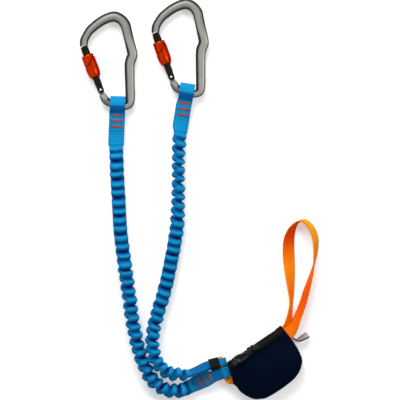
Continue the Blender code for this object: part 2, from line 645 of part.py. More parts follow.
def strand_path(side):
    """The arm's line from the basket bar to the lanyard loop, resting on the surface between its two ends."""
    rows = smooth([(*on_surface(px, py), roll, lift) for px, py, roll, lift in STRANDS_PX[side]])
    along = np.concatenate([[0], np.cumsum(np.linalg.norm(np.diff(rows[:, :2], axis=0), axis=1))])
    length = along[-1]
    levels = []
    for distance, roll, lift in zip(along, rows[:, 2], rows[:, 3]):
        half, wide = bulk(side, distance, length)
        rest = resting(roll, half, wide, half * 0.4) + GAP
        from_top = eased((distance - UPPER_EYE_NECK) / (UPPER_SEWN_LENGTH + REST_BLEND - UPPER_EYE_NECK))
        from_loop = eased((length - distance - LOWER_EYE_NECK) / (LOWER_SEWN_LENGTH + REST_BLEND / 2 - LOWER_EYE_NECK))
        level = max(rest, CARABINER_LEVEL + (rest - CARABINER_LEVEL) * from_top)
        levels.append(max(rest, level + (LOOP_LEVEL - level) * (1 - from_loop)) + max(0.0, lift) * PIXEL)
    levels = evened(levels)
    return Path([(x, y, z) for (x, y, _, _), z in zip(rows, levels)], rows[:, 2])


def evened(values, reach=9):
    """The values with their sudden steps spread over the neighbours."""
    weights = np.hanning(2 * reach + 1)
    return np.convolve(np.pad(values, reach, "edge"), weights / weights.sum(), "valid")


def reversed_path(path):
    return Path(path.places[::-1], -path.rolls[::-1])


def eye(name, path, sewn, reach, half_height, neck, width_at, finish):
    """Webbing that comes up the path's line, goes round the bar at its start and back, sewn together past the neck."""
    fars = [*np.linspace(sewn, neck, 7), *np.linspace(neck, 0, 7)[1:]]
    outward = [(far, eye_height(far, half_height, neck)) for far in fars]
    outward += [(-reach * math.sin(a), half_height * math.cos(a)) for a in np.linspace(0, math.pi / 2, 6)[1:]]
    line = np.array(outward + [(far, -high) for far, high in outward[-2::-1]])
    ways = np.gradient(line, axis=0)
    ways /= np.linalg.norm(ways, axis=1)[:, None]
    rings = []
    for (far, high), (dx, dy) in zip(line, ways):
        place, way, normal, across = path.at(far)
        rings.append(flat_ring(place + normal * high, normal * dx - way * dy, across, WEBBING_THICKNESS / 2, width_at(far) / 2))
    return add(name, loft(rings), finish)


def gathered_arm(side, path):
    """The elastic arm between its sewn ends: one ribbon that swings up and down in close even gathers."""
    blue = material("blue_webbing", BLUE, 0.7)
    start, end = UPPER_SEWN_LENGTH + 2 * GAP, path.length - LOWER_SEWN_LENGTH - 2 * GAP
    gathers = round((end - start) / GATHER_LENGTH)
    rings = []
    for i in range(gathers * GATHER_STEPS + 1):
        share = i / (gathers * GATHER_STEPS)
        distance = start + (end - start) * share
        swing = arm_height(distance, path.length)
        half = arm_half(swing)
        place, _, normal, across = path.at(distance)
        high = swing * math.sin(2 * math.pi * gathers * share)
        rings.append(flat_ring(place + normal * high, normal, across, half, ARM_WIDTH / 2))
    add(f"elastic_arm_{side}", loft(rings), blue)


def arms():
    blue = material("blue_webbing", BLUE, 0.7)
    for side in ("left", "right"):
        path = strand_path(side)
        eye(
            f"upper_eye_{side}", path, UPPER_SEWN_LENGTH, UPPER_EYE_REACH, UPPER_EYE_HALF_HEIGHT, UPPER_EYE_NECK,
            lambda far: UPPER_EYE_WIDTH, blue,
        )  # fmt: skip
        gathered_arm(side, path)
        back = reversed_path(path)
        eye(
            f"lower_eye_{side}", back, LOWER_SEWN_LENGTH, LOWER_EYE_REACH, LOWER_EYE_HALF_HEIGHT, LOWER_EYE_NECK,
            lambda far, side=side: lower_width(side, far), blue,
        )  # fmt: skip
        if side == "right":
            keeper(back)


def keeper(path):
    """The black band round the rear eye, just past the loop."""
    rings = []
    for grow, ends in ((0, (0, 1)), (KEEPER_THICKNESS, (1, 0))):
        for share in np.linspace(*ends, 5):
            far = KEEPER_START + KEEPER_LENGTH * share
            half = eye_height(far, LOWER_EYE_HALF_HEIGHT, LOWER_EYE_NECK) + WEBBING_THICKNESS / 2 + 2 * GAP + grow
            place, _, normal, across = path.at(far)
            side = lower_width("right", far) / 2 + 2 * GAP + grow
            rings.append([place + normal * a + across * b for a, b in ((half, -side), (half, side), (-half, side), (-half, -side))])
    add("arm_keeper", loft(rings, closed=True), material("black_elastic", BLACK, 0.6))


def lanyard_loop():
    """Orange webbing from the absorber: out of the pouch, through both lower eyes, down and back beneath them."""
    out = [(*on_surface(px, py), level * LOOP_LEVEL) for px, py, level in LANYARD_LOOP_PX]
    back = [(*on_surface(px, py), level * LOOP_LEVEL) for px, py, level in LANYARD_RETURN_PX]
    end = np.array(out[-1])
    way = end - np.array(out[-2])
    way /= np.linalg.norm(way)
    drop = (LOOP_LEVEL - LOOP_RETURN_LEVEL) / 2
    bend = [tuple(end + way * drop * math.sin(a) - np.array([0, 0, drop * (1 - math.cos(a))])) for a in np.linspace(0, math.pi, 9)]
    rings = []
    turn_side = Vector((way[1], -way[0], 0))
    for number, line in enumerate((smooth(out, 22), np.array(bend[1:-1]), smooth([bend[-1], *back], 12))):
        ways = np.gradient(line, axis=0)
        for place, ahead in zip(line, ways):
            ahead = Vector(ahead).normalized()
            side = turn_side if number == 1 else Vector((ahead.y, -ahead.x, 0)).normalized()
            side = -side if number == 2 else side
            normal = side.cross(ahead).normalized()
            rings.append(flat_ring(Vector(place), normal, side, LOOP_THICKNESS / 2, LOOP_WIDTH / 2))
    add("lanyard_loop", loft(rings), material("orange_webbing", ORANGE, 0.7))


# Pouch
def pouch_place(share_along, share_down):
    """A point of the pouch in plan, from shares of its width and depth."""
    corner = on_surface(*POUCH_CORNER_PX)
    along = np.array([math.cos(POUCH_ANGLE), math.sin(POUCH_ANGLE)])
    down = np.array([math.sin(POUCH_ANGLE), -math.cos(POUCH_ANGLE)])
    return corner + along * share_along * POUCH_WIDTH + down * share_down * POUCH_DEPTH


def closed_outline(count):
    """The pouch's outline as shares, evenly spaced round it."""
    rows = POUCH_OUTLINE_SHARES
    looped = smooth([*rows[-2:], *rows, *rows[:3]], 800)
    starts = [np.argmin(np.linalg.norm(looped[part] - np.array(rows[0]), axis=1)) for part in (slice(0, 400), slice(400, 800))]
    return looped[np.linspace(starts[0], starts[1] + 400, count, endpoint=False).astype(int)]


def mouth(share_along, share_down):
    """1 across a mouth of the pouch, 0 away from both."""
    centre, half = LEFT_MOUTH_SHARES if share_along < POUCH_CENTRE_SHARES[0] else RIGHT_MOUTH_SHARES
    if 0.12 < share_along < 0.86:
        return 0.0
    return eased((1.25 - abs(share_down - centre) / half) / 0.35)


def rise(ring_share, flat, power, root):
    """How full the pouch is at that share of the way out to its edge."""
    if ring_share <= flat:
        return 1.0
    return (1 - ((ring_share - flat) / (1 - flat)) ** power) ** root


def panel_level(face, ring_share, share_along, share_down):
    open_share = mouth(share_along, share_down) * eased((ring_share - 0.5) / 0.5)
    if face == "front":
        level = POUCH_SEAM_LEVEL + SEAM_GAP + POUCH_FRONT_RISE * rise(ring_share, 0, 2.6, 0.6)
        return max(level, POUCH_SEAM_LEVEL + (MOUTH_LIFT + POUCH_WALL) * open_share)
    level = POUCH_SEAM_LEVEL - SEAM_GAP - (POUCH_SEAM_LEVEL - SEAM_GAP) * rise(ring_share, FLAT_SHARE, 2.8, 0.6)
    return max(0.0, min(level, POUCH_SEAM_LEVEL - SEAM_GAP - MOUTH_DROP * open_share))


def panel(face, count=32):
    """One side of the pouch: a pillowed sheet, given its wall inwards."""
    outline = closed_outline(count)
    centre = np.array(POUCH_CENTRE_SHARES)
    bm = bmesh.new()
    rows = []
    for ring_share in POUCH_RING_SHARES:
        row = []
        for share in outline:
            place = centre + (share - centre) * ring_share
            row.append(bm.verts.new((*pouch_place(*place), panel_level(face, ring_share, *share))))
        rows.append(row)
    middle = bm.verts.new((*pouch_place(*centre), panel_level(face, 0, *centre)))
    for i in range(count):
        j = (i + 1) % count
        faces = [(outer[i], outer[j], inner[j], inner[i]) for outer, inner in zip(rows, rows[1:])]
        faces.append((rows[-1][i], rows[-1][j], middle))
        for corners in faces:
            bm.faces.new(reversed(corners) if face == "front" else corners)
    made = add(f"pouch_{face}", bm, material("navy_fabric", NAVY, 0.8), turned_out=True)
    wall = made.modifiers.new("wall", "SOLIDIFY")
    wall.thickness = POUCH_WALL
    wall.offset = -1
    return made


def zip_level(front, share_along, share_down):
    """Height of the pouch's front there, at the highest point close by."""
    x, y = pouch_place(share_along, share_down)
    found = []
    for dx in (-ZIP_REACH, 0, ZIP_REACH):
        for dy in (-ZIP_REACH, 0, ZIP_REACH):
            hit = front.ray_cast(Vector((x + dx, y + dy, 1)), Vector((0, 0, -1)))
            if hit[0]:
                found.append(hit[0].z)
    return max(found)


def zip_parts(front):
    """The tape with its coil up the middle, and the slider on the coil with a bridge for the cord."""
    start, end = ZIP_ENDS_SHARES
    half, teeth = ZIP_WIDTH / 2 / POUCH_DEPTH, ZIP_TEETH_WIDTH / 2 / POUCH_DEPTH
    rings = []
    for along in np.linspace(start, end, 13):
        levels = {down: zip_level(front, along, ZIP_LINE_SHARE + down * half) + GAP for down in (-1, 0, 1)}
        ring = []
        edge = teeth / half
        profile = [(-1, ZIP_THICKNESS), (-edge, ZIP_THICKNESS), (-edge * 0.6, ZIP_THICKNESS + ZIP_TEETH_HEIGHT)]
        profile += [(-down, high) for down, high in reversed(profile)] + [(1, 0), (0, 0), (-1, 0)]
        for down, high in profile:
            level = levels[0] + (levels[1 if down > 0 else -1] - levels[0]) * abs(down)
            ring.append(Vector((*pouch_place(along, ZIP_LINE_SHARE + down * half), level + high)))
        rings.append(ring)
    add("zip_tape", loft(rings), material("black_tape", BLACK, 0.7))

    # The slider follows the front's slope
    places = [
        Vector((*pouch_place(SLIDER_SHARE, ZIP_LINE_SHARE + down * half), zip_level(front, SLIDER_SHARE, ZIP_LINE_SHARE + down * half)))
        for down in (-1, 0, 1)
    ]
    run = (places[0] - places[2]).xy.length
    tilt = math.atan2(places[0].z - places[2].z, run)
    lift = (2 * GAP + ZIP_THICKNESS + ZIP_TEETH_HEIGHT) / math.cos(tilt) + GAP
    base = empty("slider_axis", places[1] + Vector((0, 0, lift)), 0)
    base.rotation_euler = (tilt, 0, POUCH_ANGLE)
    rings = []
    for along, wide in ((-0.5, 0.36), (-0.32, 0.5), (0.2, 0.5), (0.5, 0.3)):
        a, b = along * SLIDER_LENGTH, wide * SLIDER_WIDTH
        rings.append([(a, -b, 0), (a, b, 0), (a, b * 0.85, SLIDER_HEIGHT), (a, -b * 0.85, SLIDER_HEIGHT)])
    body = add("zip_slider", loft(rings), material("slider_metal", "#2a2b2e", 0.4, 0.8), base)
    bridge = box_cutter(
        "slider_bridge",
        (-BRIDGE_LENGTH / 2, -BRIDGE_WALL / 2, SLIDER_HEIGHT / 2),
        (BRIDGE_LENGTH / 2, BRIDGE_WALL / 2, SLIDER_HEIGHT + BRIDGE_HEIGHT),
        base,
    )
    cut(body, bridge, "UNION")
    eyelet = Matrix.Translation((0, 0, SLIDER_HEIGHT + BRIDGE_HEIGHT / 2)) @ Matrix.Rotation(math.pi / 2, 4, "X")
    cut(body, pin_cutter("bridge_hole", PULLER_DIAMETER / 2 + GAP, BRIDGE_WALL + 2 * CUT_OVERRUN, base, eyelet, 12))
    puller(base)


def puller(base):
    """A loop of cord through the slider's bridge, with both ends in one knot."""
    dark = material("puller_cord", "#4a4a5a", 0.7)
    hole = SLIDER_HEIGHT + BRIDGE_HEIGHT / 2
    low = PULLER_DIAMETER / 2 + GAP
    half = [
        (along * PULLER_LENGTH, across * SLIDER_LENGTH, low + (hole - low) * eased(1.15 - along * 1.6))
        for along, across in PULLER_LINE_SHARES
    ]
    rows = half + [(x, -y, z) for x, y, z in half[-2::-1]]
    tube_of("puller_cord", smooth(rows, 26), PULLER_DIAMETER / 2, dark, base, 1)
    rings = []
    for far, share in ((0, 0.62), (0.12, 0.95), (0.3, 1.0), (0.42, 0.86), (0.55, 0.98), (0.72, 0.8), (0.9, 0.62), (1, 0.4)):
        x = rows[0][0] + GAP + far * KNOT_LENGTH
        radius = KNOT_RADIUS * share
        rings.append([(x, radius * math.cos(t), KNOT_RADIUS * 0.8 + GAP + radius * math.sin(t) * 0.8) for t in turn(10)])
    add("puller_knot", loft(rings), dark, base)


def binding():
    """The tape round the pouch's seam, from the left mouth round the bottom to the right one."""
    outline = closed_outline(120)
    kept = [share for share in outline if share[1] > 0.05 and mouth(*share) < 0.02]
    start = min(range(len(kept)), key=lambda i: (kept[i][0] < 0.5, kept[i][1]))
    kept = kept[start:] + kept[:start]
    centre = np.array(POUCH_CENTRE_SHARES)
    line = smooth(kept, 34)
    rings = []
    for share in line:
        place = pouch_place(*share)
        out = place - pouch_place(*centre)
        out /= np.linalg.norm(out)
        inner, outer = GAP, GAP + BINDING_THICKNESS
        ring = []
        for far, high in ((inner, -1), (outer, -0.6), (outer, 0.6), (inner, 1)):
            ring.append(Vector((*(place + out * far), POUCH_SEAM_LEVEL + high * BINDING_WIDTH / 2)))
        rings.append(ring)
    add("edge_binding", loft(rings), material("black_tape", BLACK, 0.7))


def absorber():
    """The tear webbing, folded to and fro into a flat pack."""
    centre = np.array(POUCH_CENTRE_SHARES)
    level = 3 * GAP + POUCH_WALL + (ABSORBER_LAYERS - 1) / 2 * ABSORBER_PITCH + ABSORBER_LAYER / 2
    base = empty("absorber_axis", (*pouch_place(*centre), level), POUCH_ANGLE)
    half = ABSORBER_LENGTH / 2 - ABSORBER_PITCH / 2
    line = []
    for layer in range(ABSORBER_LAYERS):
        way = 1 if layer % 2 == 0 else -1
        level = (layer - (ABSORBER_LAYERS - 1) / 2) * ABSORBER_PITCH
        line += [(way * far * half, level) for far in (-1, 0, 1)]
        if layer < ABSORBER_LAYERS - 1:
            line += [
                (way * (half + ABSORBER_PITCH / 2 * math.sin(a)), level + ABSORBER_PITCH / 2 * (1 - math.cos(a)))
                for a in np.linspace(0, math.pi, 7)[1:-1]
            ]
    line = np.array(line)
    ways = np.gradient(line, axis=0)
    ways /= np.linalg.norm(ways, axis=1)[:, None]
    rings = []
    wide = ABSORBER_WIDTH / 2
    for (x, z), (dx, dz) in zip(line, ways):
        middle, normal = Vector((x, 0, z)), Vector((-dz, 0, dx)) * ABSORBER_LAYER / 2
        rings.append([middle + normal + Vector((0, -wide, 0)), middle + normal + Vector((0, wide, 0)), middle - normal + Vector((0, wide, 0)), middle - normal + Vector((0, -wide, 0))])
    add("absorber_webbing", loft(rings), material("tear_webbing", "#d8a040", 0.8), base)


def harness_loop():
    rows = [(*on_surface(px, py), roll, lift * PIXEL) for px, py, roll, lift in HARNESS_ROUTE_PX]
    fine = smooth(rows)
    half = HARNESS_THICKNESS / 2
    places = [(x, y, resting(roll, half, HARNESS_WIDTH / 2, half * 0.7) + lift) for x, y, roll, lift in fine]
    path = Path(places, fine[:, 2])
    rings = []
    for distance in path.spread(56):
        place, _, normal, side = path.at(distance)
        inside = 1 - eased(min(distance, path.length - distance) / (HARNESS_BUNCH_PX * PIXEL))
        width = HARNESS_WIDTH * (1 - (1 - HARNESS_MOUTH_SHARE) * inside)
        rings.append(flat_ring(place, normal, side, half, width / 2))
    add("harness_loop", loft(rings), material("orange_webbing", ORANGE, 0.7))


def label():
    level = LABEL_WIDTH / 2 + FLOOR_GAP
    rows = smooth([(*on_surface(px, py), level) for px, py in LABEL_ROUTE_PX], 60)
    strap("label", Path(rows, np.full(len(rows), -82.0)), LABEL_THICKNESS, LABEL_WIDTH, material("label_tape", LABEL_GREY, 0.7), 12)


def main():
    for side in ("left", "right"):
        carabiner(side)
    arms()
    lanyard_loop()
    front = panel("front")
    panel("back")
    binding()
    bm = bmesh.new()
    bm.from_mesh(front.data)
    zip_parts(BVHTree.FromBMesh(bm))
    bm.free()
    absorber()
    harness_loop()
    label()


PART, CUTTERS = start_clean()
main()
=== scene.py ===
"""A via ferrata lanyard laid flat and seen from straight above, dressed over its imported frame.

Two locking carabiners hang in the sewn eyes of two gathered elastic arms. The arms meet at a short orange
loop that comes out of a pouch, and a long orange loop leaves the pouch for the climber's harness."""

import math
from functools import partial
from typing import NamedTuple

import bmesh
import bpy
import numpy as np
from bpy.props import FloatProperty, FloatVectorProperty, IntProperty, PointerProperty
from mathutils import Matrix, Vector
from mathutils.bvhtree import BVHTree


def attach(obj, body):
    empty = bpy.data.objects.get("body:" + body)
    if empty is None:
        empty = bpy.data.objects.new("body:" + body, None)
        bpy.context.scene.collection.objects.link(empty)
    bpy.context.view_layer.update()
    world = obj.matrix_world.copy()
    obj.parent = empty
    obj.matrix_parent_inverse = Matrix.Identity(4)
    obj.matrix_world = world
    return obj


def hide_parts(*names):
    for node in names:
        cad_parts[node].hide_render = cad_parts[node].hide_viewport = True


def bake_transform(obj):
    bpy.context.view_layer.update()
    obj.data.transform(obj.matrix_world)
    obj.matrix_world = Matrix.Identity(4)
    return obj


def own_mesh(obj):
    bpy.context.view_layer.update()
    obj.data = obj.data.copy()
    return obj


bl_info = {
    "name": "Via ferrata lanyard",
    "version": (1, 0, 0),
    "blender": (4, 5, 0),
    "location": "View3D > Sidebar > Lanyard",
    "description": "Builds a via ferrata lanyard piece by piece over its packed frame",
    "category": "Add Mesh",
}

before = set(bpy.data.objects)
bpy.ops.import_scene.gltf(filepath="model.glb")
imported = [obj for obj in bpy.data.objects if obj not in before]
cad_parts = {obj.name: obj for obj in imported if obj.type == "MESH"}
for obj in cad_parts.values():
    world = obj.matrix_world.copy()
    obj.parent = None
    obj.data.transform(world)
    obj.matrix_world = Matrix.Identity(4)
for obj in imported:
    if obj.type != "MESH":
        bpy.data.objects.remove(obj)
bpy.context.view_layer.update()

MM = 0.001
SIDES = ("left", "right")

# The carabiners' places: the middle of the basket bar, and the turn in the plane
BASKETS = {"left": Vector((-0.09553, 0.110559, 0.0078)), "right": Vector((-0.013631, 0.125237, 0.0078))}
TURNS = {"left": 0.0, "right": math.radians(-1.3)}
FRAME_LENGTH = 0.1153
RIVET_SHARES = (-0.167, 0.148)

# The frame's middle line from the nose round to the hinge, in shares of its length from the middle of the
# basket bar: across, along, the stock's width, and how square its section is, where 1 is an ellipse.
FRAME_LINE_SHARES = [
    (-0.339, 0.589, 0.080, 0.85), (-0.334, 0.649, 0.085, 0.9), (-0.305, 0.708, 0.085, 0.95),
    (-0.268, 0.758, 0.091, 0.98), (-0.183, 0.828, 0.098, 1.0), (-0.102, 0.872, 0.101, 1.0),
    (-0.030, 0.889, 0.108, 0.95), (0.037, 0.862, 0.106, 0.85), (0.081, 0.807, 0.107, 0.66),
    (0.098, 0.749, 0.101, 0.60), (0.122, 0.645, 0.100, 0.58), (0.149, 0.535, 0.103, 0.58),
    (0.151, 0.490, 0.105, 0.58), (0.129, 0.429, 0.106, 0.58), (0.124, 0.365, 0.101, 0.58),
    (0.129, 0.179, 0.097, 0.60), (0.131, 0.086, 0.097, 0.66), (0.124, 0.009, 0.086, 0.8),
    (0.084, -0.0176, 0.077, 0.95), (0.040, -0.0084, 0.074, 0.95), (-0.035, 0.0073, 0.074, 0.95),
    (-0.078, 0.0164, 0.076, 0.95), (-0.117, 0.045, 0.081, 0.85), (-0.148, 0.098, 0.070, 0.8),
]  # fmt: skip

# Each arm's webbing from the basket bar to the lanyard loop: x, y and z in millimetres, and its roll in
# degrees, where 0 lies flat and 90 stands on edge
STRANDS = {
    "left": [
        (-95.15, 110.4, 7.8, 0), (-95.7, 95.2, 7.8, 0), (-96.4, 81.9, 6.8, 0), (-96.9, 67.2, 5.0, 2),
        (-96.9, 60.9, 4.9, 5), (-96.6, 54.4, 7.0, 8), (-96.3, 48.6, 8.2, 10), (-96.0, 34.9, 8.4, 10),
        (-95.1, 19.9, 8.4, 9), (-94.2, 4.5, 8.2, 6), (-93.4, -10.9, 8.0, 1), (-92.6, -25.4, 8.1, -4),
        (-91.6, -38.8, 8.3, -9), (-90.2, -50.6, 8.7, -15), (-88.6, -62.4, 9.1, -21),
        (-87.2, -74.0, 9.4, -28), (-85.6, -85.6, 9.6, -33), (-83.8, -97.7, 9.7, -38),
        (-81.9, -110.1, 9.7, -41), (-80.2, -122.9, 9.6, -44), (-78.4, -136.5, 9.6, -46),
        (-76.1, -150.3, 9.6, -46), (-73.1, -164.0, 9.6, -46), (-69.9, -176.1, 9.6, -46),
        (-66.2, -187.6, 9.7, -46), (-62.6, -196.7, 9.7, -47), (-58.0, -205.1, 9.6, -48),
        (-53.4, -211.4, 9.5, -50), (-48.1, -216.5, 9.4, -52), (-42.4, -220.2, 9.3, -53),
        (-36.6, -222.2, 9.2, -52), (-29.3, -223.0, 9.0, -46), (-22.1, -222.5, 8.6, -34),
        (-17.1, -221.1, 8.0, -20), (-11.8, -218.8, 6.0, -8), (-8.0, -217.2, 4.6, -2),
        (-2.5, -214.5, 4.4, 0), (8.1, -210.0, 6.4, 0), (18.5, -205.8, 7.7, 0), (29.2, -202.0, 7.8, 0),
    ],
    "right": [
        (-14.6, 125.5, 7.8, 0), (-16.9, 111.2, 7.8, 0), (-18.9, 98.7, 7.0, -4), (-20.7, 88.0, 6.3, -12),
        (-21.9, 79.7, 6.4, -23), (-22.7, 74.1, 7.6, -34), (-23.3, 67.7, 9.4, -44),
        (-23.7, 59.4, 9.9, -55), (-24.1, 47.2, 9.9, -62), (-24.4, 33.6, 9.9, -66),
        (-24.5, 19.2, 9.9, -66), (-24.5, 5.7, 9.9, -63), (-24.7, -6.3, 9.9, -56),
        (-25.1, -17.0, 9.6, -46), (-25.5, -26.6, 9.7, -35), (-26.4, -36.3, 9.5, -24),
        (-28.1, -47.1, 9.2, -16), (-30.3, -59.2, 8.7, -9), (-32.9, -72.5, 8.5, -6),
        (-35.7, -86.3, 8.6, -8), (-38.5, -99.0, 8.9, -12), (-41.6, -110.6, 9.3, -19),
        (-45.0, -121.9, 9.7, -27), (-48.6, -133.2, 10.3, -34), (-51.6, -144.1, 11.3, -41),
        (-53.8, -155.0, 12.9, -47), (-54.6, -166.3, 14.7, -52), (-53.7, -176.6, 16.1, -55),
        (-50.9, -185.6, 16.8, -57), (-46.0, -193.2, 16.6, -60), (-39.9, -198.9, 15.9, -62),
        (-32.4, -202.3, 14.8, -64), (-23.4, -203.8, 13.2, -68), (-15.3, -203.4, 11.2, -72),
        (-6.8, -201.3, 10.0, -70), (1.7, -197.9, 9.0, -64), (7.3, -195.2, 8.6, -58),
        (11.9, -193.4, 8.4, -50), (17.3, -192.0, 8.0, -36), (25.9, -189.9, 7.8, -10),
    ],
}  # fmt: skip

# The harness loop from inside the pouch, up its left leg, over the top and down its right, in the same way
HARNESS_ROUTE = [
    (88.1, -163.3, 9.3, 0), (94.9, -158.7, 8.6, 8), (99.5, -154.6, 7.4, 20), (102.0, -150.8, 6.2, 36),
    (103.3, -147.5, 6.0, 46), (104.2, -142.1, 6.5, 58), (105.4, -135.5, 7.0, 67),
    (106.5, -128.0, 7.2, 73), (107.2, -119.5, 7.3, 76), (107.3, -111.5, 7.0, 67),
    (106.9, -103.2, 6.4, 57), (106.4, -94.8, 5.7, 47), (105.8, -86.7, 5.0, 37), (105.2, -78.4, 4.1, 26),
    (104.7, -69.6, 3.4, 19), (104.3, -59.9, 3.3, 18), (104.4, -51.7, 3.8, 23), (105.1, -44.7, 4.8, 34),
    (106.6, -38.8, 5.6, 46), (109.0, -33.4, 6.6, 59), (112.0, -29.0, 7.2, 73), (115.6, -25.9, 7.4, 84),
    (118.9, -24.7, 7.5, 94), (122.6, -25.2, 7.4, 104), (126.9, -28.3, 7.3, 112),
    (131.1, -33.6, 7.1, 117), (134.3, -40.6, 7.0, 119), (135.8, -48.2, 7.1, 117),
    (135.9, -56.9, 7.2, 112), (135.2, -65.6, 7.4, 104), (133.9, -74.2, 7.5, 95),
    (132.0, -82.9, 7.5, 86), (129.6, -91.6, 7.4, 78), (127.0, -100.2, 7.3, 71),
    (124.4, -108.8, 7.2, 66), (121.9, -118.0, 7.4, 63), (118.8, -127.0, 8.0, 61),
    (115.9, -134.1, 9.0, 59), (113.2, -140.2, 10.3, 55), (111.2, -144.8, 11.1, 49),
    (109.0, -149.3, 11.5, 38), (105.6, -154.2, 11.8, 22), (100.2, -160.0, 11.9, 8),
    (93.0, -166.4, 12.0, 0),
]  # fmt: skip

# The lanyard loop's upper run from inside the pouch up through both eyes, and its lower run back under them
LOOP_OUT = [
    (52.2, -203.6, 9.0), (45.8, -207.4, 8.6), (39.6, -210.6, 7.8), (34.4, -210.6, 7.8), (31.6, -207.2, 7.8),
    (29.5, -202.0, 7.8), (27.5, -196.0, 7.8), (25.7, -190.2, 7.8), (24.9, -187.4, 7.8),
]  # fmt: skip
LOOP_BACK = [
    (26.8, -189.3, 1.6), (29.7, -192.9, 1.9), (32.4, -195.6, 3.2), (35.4, -197.4, 4.2), (40.5, -199.1, 5.0),
    (46.9, -199.9, 5.8),
]  # fmt: skip
LABEL_ROUTE = [
    (108.7, -161.6, 5.6, -86), (113.2, -163.7, 5.6, -82), (116.0, -163.9, 5.4, -72),
    (118.6, -162.6, 5.0, -62), (122.7, -160.0, 4.6, -54), (126.9, -157.6, 4.4, -50),
]  # fmt: skip

# The pouch: its top edge's left end and its turn, and its outline in shares of its width along the top edge
# and of its depth down from it
POUCH_CORNER = np.array([0.0332, -0.19094])
POUCH_ANGLE = math.radians(34.8)
POUCH_OUTLINE_SHARES = [
    (0.000, 0.000), (0.180, -0.006), (0.400, -0.010), (0.620, -0.008), (0.800, -0.002), (0.888, 0.000),
    (0.899, 0.120), (0.906, 0.240), (0.904, 0.400), (0.896, 0.560), (0.870, 0.740), (0.813, 0.850),
    (0.713, 0.940), (0.588, 0.988), (0.378, 1.000), (0.185, 0.982), (0.110, 0.940), (0.020, 0.850),
    (-0.058, 0.650), (-0.080, 0.486), (-0.088, 0.370), (-0.055, 0.230), (-0.022, 0.100),
]  # fmt: skip
POUCH_CENTRE = np.array([0.42, 0.50])
POUCH_MIDDLE = (0.079433, -0.194981, 0.0097)  # where the folded absorber's middle lies
LEFT_MOUTH, RIGHT_MOUTH = (0.21, 0.25), (0.14, 0.17)  # each mouth's middle and half length, down the side
ZIP_DOWN = 0.066  # the zip's middle line, down from the top edge


class Eye(NamedTuple):
    """A sewn eye, in metres along its webbing from the bar that it goes round."""

    sewn: float  # the length that is sewn back
    reach: float  # how far the webbing's middle stands behind the bar's
    high: float  # how far it stands over the bar's middle
    neck: float  # where the two layers meet


UPPER_EYE = Eye(0.0476, 0.0090, 0.0062, 0.0128)
LOWER_EYES = {"left": Eye(0.0385, 0.0077, 0.0027, 0.0085), "right": Eye(0.0385, 0.0051, 0.0027, 0.0085)}
LAYER_GAP = 0.00015  # half the gap between two sewn layers


# Settings that a user would change


def linear(hex_colour):
    """An sRGB hex colour as linear numbers."""
    parts = [int(hex_colour[i : i + 2], 16) / 255 for i in (1, 3, 5)]
    return tuple(c / 12.92 if c <= 0.04045 else ((c + 0.055) / 1.055) ** 2.4 for c in parts)


def colour_setting(name, description, hex_colour):
    return FloatVectorProperty(
        name=name, description=description, default=linear(hex_colour), subtype="COLOR", min=0, max=1, size=3
    )


def length_setting(name, description, default):
    return FloatProperty(
        name=name, description=description, default=default, min=0, precision=5, unit="LENGTH",
        subtype="DISTANCE",
    )  # fmt: skip


def power_setting(name, description, default):
    return FloatProperty(name=name, description=description, default=default, min=0, subtype="POWER")


class CarabinerSettings(bpy.types.PropertyGroup):
    length: length_setting("Length", "From the basket bar to the top of the bow", FRAME_LENGTH)
    depth: length_setting("Depth", "The frame's thickness square to its plane", 0.0100)
    basket_depth: length_setting("Basket depth", "The frame's thickness where the webbing sits", 0.0090)
    nose_depth: length_setting("Nose depth", "The frame's thickness at its nose", 0.0086)
    gate_radius: length_setting("Gate radius", "Half the gate's diameter", 0.0041)
    sleeve_start: length_setting("Sleeve start", "From the rivet to the sleeve's lower end", 0.0163)
    sleeve_length: length_setting("Sleeve length", "The locking sleeve's length along the gate", 0.0272)
    sleeve_radius: length_setting("Sleeve radius", "Half the sleeve's diameter at its lower collar", 0.0077)
    frame_colour: colour_setting("Frame", "Grey anodising of the frame's faces", "#898883")
    # Painted shade that darkens the frame round its sides
    side_shade_paint: colour_setting("Frame sides", "Darker anodising round the frame's sides", "#232220")
    bare_colour: colour_setting("Bare metal", "Machined faces at the nose and the hinge", "#676a69")
    gate_colour: colour_setting("Gate", "Black anodising of the gate", "#25211f")
    sleeve_colour: colour_setting("Sleeve", "Orange anodising of the sleeve", "#bb2f03")


class ArmSettings(bpy.types.PropertyGroup):
    width: length_setting("Width", "The gathered webbing's width", 0.0160)
    lobe: length_setting("Lobe height", "From the arm's middle to the top of a gather", 0.0074)
    notch: length_setting("Notch height", "From the arm's middle to the bottom of a fold", 0.0006)
    gather: length_setting("Gather length", "From one gather to the next on the same face", 0.0104)
    thickness: length_setting("Webbing thickness", "One layer of the webbing in the sewn ends", 0.0021)
    eye_width: length_setting("Eye width", "The webbing's width in the upper eyes", 0.0174)
    # Painted light and shade: the crest colour is the lit blue, and the valley colour is painted shade in the
    # folds
    crest_colour: colour_setting("Crest", "The webbing's blue, drawn tight over a gather", "#129cd6")
    valley_shade_paint: colour_setting("Valley", "The webbing's blue, bunched deep in a fold", "#01247a")
    thread_colour: colour_setting("Thread", "The coral thread of the bar tacks", "#d0614c")
    rings: IntProperty(
        name="Rings per gather", description="Cross sections in a gather", default=18, min=6, max=40
    )


class LoopSettings(bpy.types.PropertyGroup):
    harness_width: length_setting("Harness loop width", "The long loop's width", 0.0145)
    harness_thickness: length_setting("Harness loop thickness", "The long loop's thickness", 0.0023)
    loop_width: length_setting("Lanyard loop width", "The short loop's width where it is bunched", 0.0064)
    loop_thickness: length_setting("Lanyard loop thickness", "The short loop's thickness", 0.0020)
    rib: length_setting("Rib pitch", "From one cross rib of the weave to the next", 0.0019)
    # Painted light and shade: the pale dye colours the lit faces and the full dye the shaded ones
    colour: colour_setting("Pale dye", "Yellow-orange where the dye is thinnest", "#ffa614")
    shade_colour: colour_setting("Full dye", "Red-orange where the dye is fullest", "#f63803")


